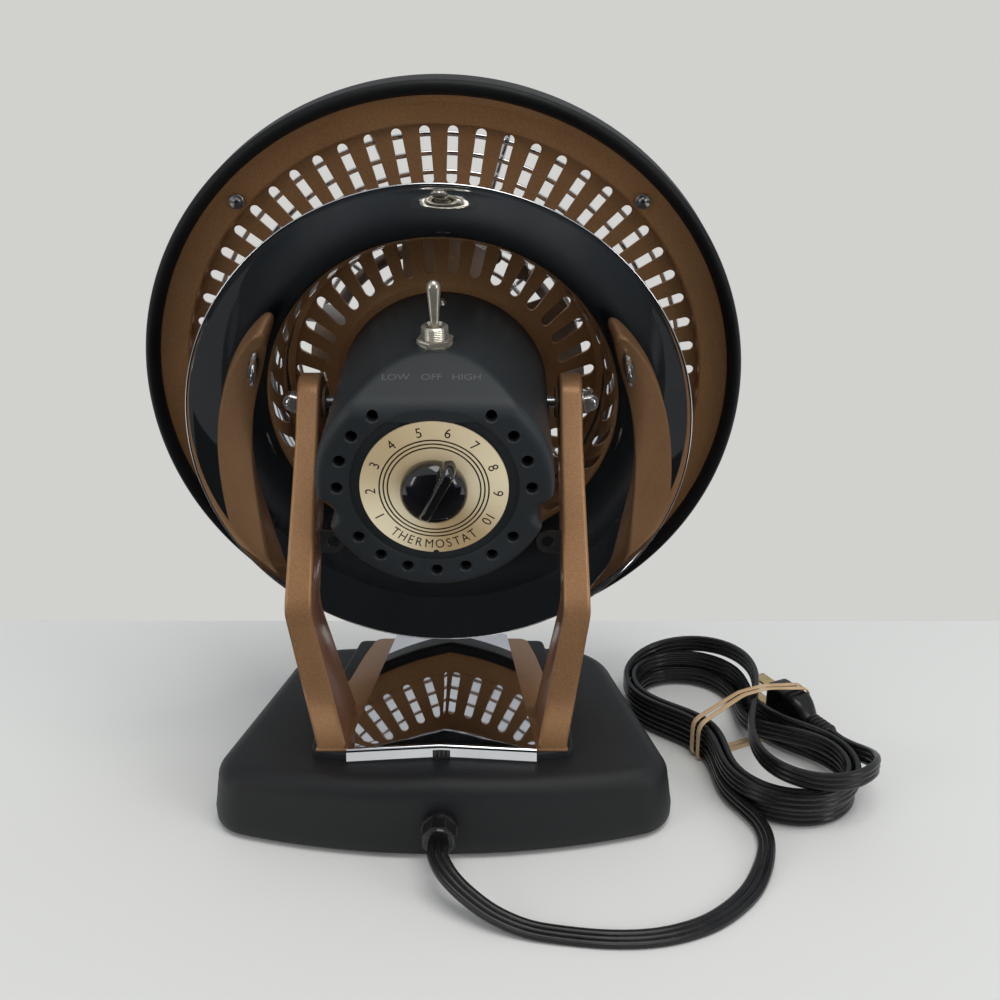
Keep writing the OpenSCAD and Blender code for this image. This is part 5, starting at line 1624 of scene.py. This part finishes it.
@dataclass
class ToggleSeat(Unit):
    """Fixed parts of the switch: bushing and nut."""

    def build(self) -> None:
        """Builds the threaded bushing and the nut."""
        turns = np.arange(0, 8.2, 0.4)
        crest = np.where(np.arange(len(turns)) % 2 == 0, 5.92, 5.5)
        thread = np.column_stack([crest, turns])
        profile = np.concatenate([[[3.6, -7], [5.9, -7]], thread,
                                  [[5.4, 8.5], [5.0, 8.8], [4.7, 8.8], [3.7, 7.4], [3.6, 5.0]]])
        mesh = build_mesh("toggle_bushing_piece", Toggle.up_place(spin(profile, 72)),
                          [grid_quads(len(profile), 72, True, True)])
        tidy_mesh(mesh)
        self.place(mesh, NICKEL, ("toggle_bushing",), 25)
        self.carry("toggle_nut", NICKEL, 0.3, 30, 3)


@dataclass
class FanUnit(Unit):
    """Fan, shaft and rotor."""

    def build(self) -> None:
        """Builds the fan group."""
        self.carry("fan_blade", ALUMINIUM, angle=40)
        self.carry("motor_shaft", ZINC)
        self.carry("motor_rotor", STACK)


@dataclass
class CordUnit(Unit):
    """The flat cord, its bundle, the band and the plug."""

    fold_r: float = 28.0
    fold_c: float = 45.0
    waist: float = 14.5
    turn_back: float = 1.625
    turns: float = 3.25
    inner_e: float = -0.66
    bundle_z: float = 6.3
    plug_n: float = 40.2
    plug_z: float = 13.2
    neck_x: float = 31.0
    layer: float = 10.2
    fold_pitch: float = 4.2
    run_pitch: float = 5.3
    line: np.ndarray = field(init=False)

    @staticmethod
    def frame_points(p: np.ndarray) -> np.ndarray:
        """Takes points from the bundle's own axes to the row frame.

        Args:
            p: points.

        Returns:
            Points in the row frame.
        """
        turn, right, ahead = math.radians(-63.9), 158.0, 20.0
        c, s = math.cos(turn), math.sin(turn)
        x = p[..., 0] * c - p[..., 1] * s + right
        y = p[..., 0] * s + p[..., 1] * c + ahead + SHIFT_Y
        return np.stack([x, y, p[..., 2]], -1)

    @staticmethod
    def wave(t: np.ndarray) -> np.ndarray:
        """Half of one plus the cosine of a half turn's share, which falls from 1 to 0.

        Args:
            t: input, held between 0 and 1.

        Returns:
            The wave.
        """
        return (1 + np.cos(np.pi * np.clip(t, 0, 1))) / 2

    def loops(self, t: np.ndarray) -> np.ndarray:
        """Points of the bundle's spiral: two runs drawn in at the waist and two round folds a turn.

        Args:
            t: turns from the start.

        Returns:
            Points in the bundle's axes.
        """
        far = np.abs(t - self.turn_back)
        e = far - 0.5 - 0.6 * self.wave(far / 0.25)
        q = 4 * (t - np.floor(t))
        k = np.floor(q)
        g = q - k
        r = self.fold_r + self.fold_pitch * (e - self.inner_e)
        w = self.waist + self.run_pitch * (e + 0.5)
        c = self.fold_c
        x_run = np.where(k == 0, c - 2 * c * g, 2 * c * g - c)
        run = w + (r - w) * (1 - np.cos(np.pi * x_run / c)) / 2
        a = np.pi * g
        x = np.choose(k.astype(int), [x_run, -c - r * np.sin(a), x_run, c + r * np.sin(a)])
        y = np.choose(k.astype(int), [-run, -r * np.cos(a), run, r * np.cos(a)])
        climbs = (1 - self.wave((t - 1.5) / 0.25)) + (1 - self.wave((t - self.turns) / 0.25))
        z = self.bundle_z + self.layer * climbs
        return np.stack([x, y, z], -1)

    def tail(self) -> np.ndarray:
        """The last stretch: over the bundle, round to the near side and down to the plug.

        Returns:
            Points in the bundle's axes.
        """
        tail_z = self.bundle_z + 2 * self.layer
        a = self.loops(np.array([self.turns + 0.2499]))[0]
        r, cx = 30.0, 52.0
        pull = 35
        c15, s15 = math.cos(math.radians(15)), math.sin(math.radians(15))
        start = np.array([a[0], a[1], tail_z])
        end = np.array([cx - r * s15, self.plug_n - r - r * c15, tail_z])
        b, c = start + [pull, 0, 0], end - pull * np.array([c15, -s15, 0])
        t = np.linspace(0, 1, 48, endpoint=False)[:, None]
        cross = (1 - t) ** 3 * start + 3 * (1 - t) ** 2 * t * b + 3 * (1 - t) * t * t * c + t ** 3 * end

        def drop(v: np.ndarray) -> np.ndarray:
            """Height that falls from the tail's level to the plug's in half a wave.

            Args:
                v: share of the fall.

            Returns:
                Heights.
            """
            return tail_z - (tail_z - self.plug_z) * (1 - self.wave(v))

        d = np.linspace(-105, 90, 60, endpoint=False)
        bend = np.radians(d)
        turn = np.stack([cx + r * np.cos(bend), self.plug_n - r + r * np.sin(bend), drop((d - 8) / 112)], -1)
        x = np.linspace(cx, self.neck_x - 1.0, 10)
        last = np.stack([x, np.full(10, self.plug_n),
                         np.where(x > self.neck_x + 10, drop((82 + (cx - x) * 1.9) / 112), self.plug_z)], -1)
        return np.concatenate([cross, turn, last])

    def lead(self) -> tuple[np.ndarray, np.ndarray]:
        """The lead over the floor: a smooth curve through a few points.

        Returns:
            Points in the row frame and the roll of the cord's width in degrees.
        """
        route = np.array([
            [0, -85.5, 18.7, 0], [0, -93, 18.7, 0], [0.5, -98, 18.2, 0], [5, -106, 15.6, 0],
            [13, -113, 11.4, 0], [25, -120, 6.6, 0], [40, -125, 3, 0], [57, -128, 2, 0],
            [75, -130, 1.9, 0], [92, -129.5, 1.9, 0], [107, -126, 1.9, 0], [121, -119.5, 1.9, 0],
            [134, -109, 1.9, 0], [144, -97, 1.9, 0], [151.5, -83, 3.9, 25], [155.5, -68.5, 5.3, 55],
            [154.6, -55.5, 6, 80], [150.1, -44.7, 6.3, 90], [145.9, -36.1, 6.3, 90]])
        padded = np.concatenate([route[:1], route, route[-1:]])
        t = np.linspace(0, 1, 8, endpoint=False)[:, None]
        rows = []
        for a, b, c, d in zip(padded, padded[1:], padded[2:], padded[3:]):
            bend, twist = 2 * a - 5 * b + 4 * c - d, 3 * b - a - 3 * c + d
            rows.append(0.5 * (2 * b + (c - a) * t + bend * t * t + twist * t ** 3))
        smooth = np.concatenate(rows + [route[-1:]])
        smooth[:, 1] += SHIFT_Y
        return smooth[:, :3], smooth[:, 3]

    def path(self) -> tuple[np.ndarray, np.ndarray]:
        """The whole cord's centre line.

        Returns:
            Points in the row frame and the roll in degrees.
        """
        lead, roll = self.lead()
        steps = 96
        t = np.arange(1, int((self.turns + 0.25) * steps)) / steps
        bundle = self.frame_points(np.concatenate([self.loops(t), self.tail()]))
        return np.concatenate([lead, bundle]), np.concatenate([roll, np.full(len(bundle), 90.0)])

    @staticmethod
    def section() -> np.ndarray:
        """Section of the flat cord: three round strands side by side with soft grooves.

        Returns:
            Points (thickness, width).
        """
        groove, pitch = 1.05, 3.0
        w = np.sin(np.linspace(-math.pi / 2, math.pi / 2, 31)) * CORD_W / 2
        high = np.full(w.shape, groove)
        for c in (-pitch, 0.0, pitch):
            high = np.maximum(high, np.sqrt(np.clip((CORD_T / 2) ** 2 - (w - c) ** 2, 0, None)))
        high[[0, -1]] = 0.02
        high[[1, -2]] = np.sqrt(np.clip((CORD_T / 2) ** 2 - (np.abs(w[[1, -2]]) - pitch) ** 2, 0, None))
        upper = np.stack([high, w], -1)
        lower = np.stack([-high, w], -1)[::-1]
        return np.concatenate([upper, lower])

    def cord(self) -> bpy.types.Object:
        """The cord as one tube: its section swept along the centre line, turned by the roll.

        Returns:
            The cord's object.
        """
        path, roll = self.path()
        keep = np.concatenate([[True], np.linalg.norm(np.diff(path, axis=0), axis=1) > 0.15])
        path, roll = path[keep], np.radians(roll[keep])
        ahead = tangents(path)
        side = np.stack([ahead[:, 1], -ahead[:, 0], np.zeros(len(path))], -1)
        side /= np.linalg.norm(side, axis=1)[:, None]
        lift = np.cross(side, ahead)
        wide = np.cos(roll)[:, None] * side + np.sin(roll)[:, None] * lift
        thick = np.cross(ahead, wide)
        sec = self.section()
        points = path[:, None] + sec[None, :, 1:] * wide[:, None] + sec[None, :, :1] * thick[:, None]
        mesh = build_mesh("cord_piece", points, tube_faces(len(path), len(sec)))
        tidy_mesh(mesh)
        obj = self.place(mesh, VINYL, ("cord_lead", "cord_hank"), 50)
        self.line = path
        return obj

    def plug(self) -> bpy.types.Object:
        """The plug's body: rounded oblong sections along its length, with a ribbed neck.

        Returns:
            The plug's object.
        """
        stations = [(0.0, 4.6, 4.6, 4.4), (0.4, 5.2, 5.2, 5.0)]
        for k in range(5):
            z = 1.5 + k * 2.9
            stations += [(z, 5.2, 5.2, 5.0), (z + 0.3, 5.9, 5.9, 5.6), (z + 1.5, 5.9, 5.9, 5.6),
                         (z + 1.8, 5.2, 5.2, 5.0)]
        stations += [(16.5, 6.0, 5.6, 5.0), (19.0, 8.6, 6.2, 4.5), (22.0, 10.8, 6.9, 4.0),
                     (25.0, 12.0, 7.5, 3.6), (34.0, 12.0, 7.5, 3.4), (42.0, 12.0, 7.5, 3.2),
                     (44.6, 11.8, 7.3, 3.0), (45.6, 11.2, 6.7, 2.6), (46.0, 10.4, 5.9, 2.2)]
        rows = []
        for z, hx, hy, rc in stations:
            quarters = ((1, 1, 0), (-1, 1, 90), (-1, -1, 180), (1, -1, 270))
            ring = np.concatenate([arc_points((i * (hx - rc), j * (hy - rc)), rc, a0, a0 + 90, 8)
                                   for i, j, a0 in quarters])
            level = np.full(len(ring), self.neck_x - z)
            rows.append(np.column_stack([level, self.plug_n + ring[:, 1], self.plug_z + ring[:, 0]]))
        points = self.frame_points(np.stack(rows))
        mesh = build_mesh("plug_piece", points, tube_faces(len(rows), points.shape[1]))
        tidy_mesh(mesh)
        return self.place(mesh, VINYL, ("plug_body",), 35)

    def band(self) -> bpy.types.Object:
        """The rubber band: two strands of a flat section swept round the bundle's waist.

        Returns:
            The band's object.
        """
        slack, plug_half = 0.6, 7.5
        over_low = self.bundle_z + self.layer + CORD_W / 2
        over_tail = self.bundle_z + 2 * self.layer + CORD_W / 2
        w = self.waist + self.run_pitch * 1.7 + CORD_T / 2 + slack
        side = self.plug_n + plug_half + slack
        ring = np.array([[-w + 2, 1.1], [side - 2, 1.1], [side, 3.0], [side, self.plug_z + 11.0],
                         [side - 3, self.plug_z + 13.4], [19, over_tail + 1], [3, over_tail + 1],
                         [-w + 2, over_low + 1.4], [-w, over_low - 1], [-w, 3.0]])
        loop = round_loop(resample_loop(ring, 260), 14)
        ahead = tangents(loop, True)
        out = np.stack([ahead[:, 1], -ahead[:, 0]], -1)
        s = np.linspace(0, 2 * math.pi, len(loop), endpoint=False)
        half_w, half_t, sides = 1.45, 0.5, 16
        bm = bmesh.new()
        for x0, phase in ((-2.3, 0.0), (2.1, 1.7)):
            centre = x0 + 0.55 * np.sin(2 * s + phase)
            twist = 0.25 * np.sin(3 * s + phase)
            rows = []
            for a in np.linspace(0, 2 * math.pi, sides, endpoint=False):
                p = half_w * np.sign(math.cos(a)) * abs(math.cos(a)) ** 0.7
                q = half_t * np.sign(math.sin(a)) * abs(math.sin(a)) ** 0.7
                across = centre + p * np.cos(twist) - q * np.sin(twist)
                height = p * np.sin(twist) * 0.5 + q * np.cos(twist) + 0.55
                yz = loop + out * height[:, None]
                rows.append(np.column_stack([across, yz]))
            points = self.frame_points(np.stack(rows))
            bm.from_mesh(build_mesh("strand", points, [grid_quads(sides, len(loop), True, True)]))
        mesh = gather(bm, "band_piece")
        tidy_mesh(mesh)
        return self.place(mesh, BAND_TAN, ("hank_band",), 60)

    def build(self) -> None:
        cord = self.cord()
        plug, band = self.plug(), self.band()
        blades = self.carry("plug_blades", BLADE, 0.2)
        length = float(np.linalg.norm(np.diff(self.line, axis=0), axis=1).sum()) * MM
        LOG.info("cord length %.3f m", length)


@dataclass
class Studio:
    """Camera, floor, lights, and dark sheets that only reflections see: painted shade."""

    def camera(self) -> None:
        """The photo's camera."""
        data = bpy.data.cameras.new("camera")
        data.lens = 39.03
        data.sensor_width = 36.0
        down = 20.154
        cam = add_object("camera", data)
        cam.location = (0.02821, -0.5088, 0.33725)
        cam.rotation_euler = (math.radians(90 - down), 0.0, 0.0)
        bpy.context.scene.camera = cam

    def floor(self) -> None:
        """A large pale floor."""
        mesh = bpy.data.meshes.new("floor")
        mesh.from_pydata([(-ROOM, -ROOM, 0), (ROOM, -ROOM, 0), (ROOM, ROOM, 0), (-ROOM, ROOM, 0)], [],
                         [(0, 1, 2, 3)])
        material = bpy.data.materials.new("floor_paper")
        material.use_nodes = True
        bsdf = material.node_tree.nodes["Principled BSDF"]
        bsdf.inputs["Base Color"].default_value = (*FLOOR, 1)
        bsdf.inputs["Roughness"].default_value = 0.6
        mesh.materials.append(material)
        obj = add_object("floor", mesh)

    @staticmethod
    def glow(name: str, colour: tuple, level: float, one_sided: bool) -> bpy.types.Material:
        """Material that only glows, seen from both sides or from its front alone.

        Args:
            name: name of the material.
            colour: linear colour.
            level: how bright it is.
            one_sided: whether it is clear from behind.

        Returns:
            The material.
        """
        material = bpy.data.materials.new(name)
        material.use_nodes = True
        tree = material.node_tree
        tree.nodes.clear()
        out = tree.nodes.new("ShaderNodeOutputMaterial")
        glow = tree.nodes.new("ShaderNodeEmission")
        glow.inputs["Color"].default_value = (*colour, 1)
        glow.inputs["Strength"].default_value = level
        if one_sided:
            mix = tree.nodes.new("ShaderNodeMixShader")
            tree.links.new(tree.nodes.new("ShaderNodeNewGeometry").outputs["Backfacing"], mix.inputs[0])
            tree.links.new(glow.outputs[0], mix.inputs[1])
            tree.links.new(tree.nodes.new("ShaderNodeBsdfTransparent").outputs[0], mix.inputs[2])
            glow = mix
        tree.links.new(glow.outputs[0], out.inputs["Surface"])
        return material

    @staticmethod
    def screen(mesh: bpy.types.Mesh, material: bpy.types.Material, camera: bool, glossy: bool) -> None:
        """Sets up a surface that neither lights the scene nor casts a shadow.

        Args:
            mesh: its mesh.
            material: its material.
            camera: whether the camera sees it.
            glossy: whether reflections see it.
        """
        mesh.materials.append(material)
        obj = add_object(mesh.name, mesh)
        obj.visible_camera = camera
        obj.visible_glossy = glossy
        obj.visible_diffuse = False
        obj.visible_shadow = False

    def card(self) -> None:
        """Painted shade in reflections: dark sheets, which only reflections see, on the camera's side of the
        heater.

        A strip stands behind the camera and bends forward at both ends. Two sheets lie a little above
        the floor: one on the camera's side of the heater, and one that reaches round its base into the
        heater's own box, left open at the fork.
        """
        # Each sheet glows faintly and darkens what metal and gloss reflect: painted shade.
        plan = [(-1.4, -1.0), (-1.0, -1.25), (1.0, -1.25), (1.4, -1.0)]
        verts = [(x, y, z) for z in (0.0, 1.15) for x, y in plan]
        n = len(plan)
        mesh = bpy.data.meshes.new("reflected_shade_strip")
        mesh.from_pydata(verts, [], [(i, i + 1, n + i + 1, n + i) for i in range(n - 1)])
        self.screen(mesh, self.glow("reflected_shade_strip", (0.80, 0.92, 1.0), 0.012, False), False, True)
        far = bpy.data.meshes.new("reflected_shade_far")
        plan = [(-2.0, -1.25), (2.0, -1.25), (2.0, SHEET_EDGE), (-2.0, SHEET_EDGE)]
        far.from_pydata([(x, y, SHEET_Z) for x, y in plan], [], [tuple(range(len(plan)))])
        self.screen(far, self.glow("reflected_shade_far", (0.80, 0.92, 1.0), 0.010, True), False, True)
        table = bpy.data.meshes.new("reflected_shade_near")
        plan = [(-0.3, SHEET_EDGE), (0.3, SHEET_EDGE), (0.3, 0.05), (0.085, 0.05), (0.085, -0.07),
                (-0.085, -0.07), (-0.085, 0.05), (-0.3, 0.05)]
        table.from_pydata([(x, y, SHEET_Z) for x, y in plan], [], [tuple(range(len(plan)))])
        self.screen(table, self.glow("reflected_shade_near", (0.90, 0.95, 1.0), 0.035, True), False, True)

    def wall(self) -> None:
        """The pale wall behind the heater, seen by the camera from its front only."""
        mesh = bpy.data.meshes.new("wall")
        plan = [(-ROOM, 0), (ROOM, 0), (ROOM, ROOM), (-ROOM, ROOM)]
        mesh.from_pydata([(x, WALL_Y, z) for x, z in plan], [], [(0, 1, 2, 3)])
        self.screen(mesh, self.glow("wall_paint", WALL, 1.0, True), True, False)

    @staticmethod
    def light(name: str, place: tuple, aim: tuple, size: float, power: float, colour: tuple) -> None:
        """A soft area light.

        Args:
            name: name of the light.
            place: position in metres.
            aim: point it looks at.
            size: edge length.
            power: watts.
            colour: linear colour.
        """
        data = bpy.data.lights.new(name, "AREA")
        data.size = size
        data.energy = power
        data.color = colour
        obj = add_object(name, data)
        obj.location = place
        obj.rotation_euler = (Vector(aim) - Vector(place)).to_track_quat("-Z", "Y").to_euler()

    def world(self) -> None:
        """Pale surroundings for the camera, dimmer ones for light and reflections."""
        lit_level = 0.49
        world = bpy.data.worlds.new("room")
        bpy.context.scene.world = world
        world.use_nodes = True
        tree = world.node_tree
        tree.nodes.clear()
        out = tree.nodes.new("ShaderNodeOutputWorld")
        mix = tree.nodes.new("ShaderNodeMixShader")
        seen = tree.nodes.new("ShaderNodeBackground")
        lit = tree.nodes.new("ShaderNodeBackground")
        seen.inputs["Color"].default_value = (*WALL, 1)
        seen.inputs["Strength"].default_value = 1.0
        lit.inputs["Color"].default_value = (0.93, 0.97, 1.0, 1)
        lit.inputs["Strength"].default_value = lit_level
        rays = tree.nodes.new("ShaderNodeLightPath")
        tree.links.new(rays.outputs["Is Camera Ray"], mix.inputs[0])
        tree.links.new(lit.outputs[0], mix.inputs[1])
        tree.links.new(seen.outputs[0], mix.inputs[2])
        tree.links.new(mix.outputs[0], out.inputs["Surface"])

    def build(self) -> None:
        """Sets the studio."""
        self.floor()
        self.world()
        self.card()
        self.wall()
        lamp = (1.0, 0.98, 0.95)
        self.light("overhead", (0.40, -0.55, 2.4), (0, 0, 0.1), 1.5, 23.0, lamp)
        self.light("left", (-1.45, -1.15, 0.65), (0, 0, 0.2), 0.8, 6.0, lamp)
        self.light("right", (1.5, -1.1, 0.75), (0, 0, 0.2), 0.8, 7.5, lamp)
        bpy.context.scene.view_settings.view_transform = "Standard"


def main() -> None:
    """Builds the scene."""
    logging.basicConfig(level=logging.INFO, format="%(name)s: %(message)s")
    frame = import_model()
    studio = Studio()
    studio.camera()
    units: list[Unit] = [
        CordUnit(frame, Body.BASE), BaseUnit(frame, Body.BASE), Fork(frame, Body.BASE),
        HeadShell(frame, Body.HEAD), ControlHousing(frame, Body.HEAD), ToggleSeat(frame, Body.HEAD),
        Toggle(frame, Body.TOGGLE), Knob(frame, Body.KNOB), FanUnit(frame, Body.FAN)]
    for unit in units:
        unit.build()
        LOG.info("built %s", type(unit).__name__)
    studio.build()


if __name__ == "__main__":
    main()
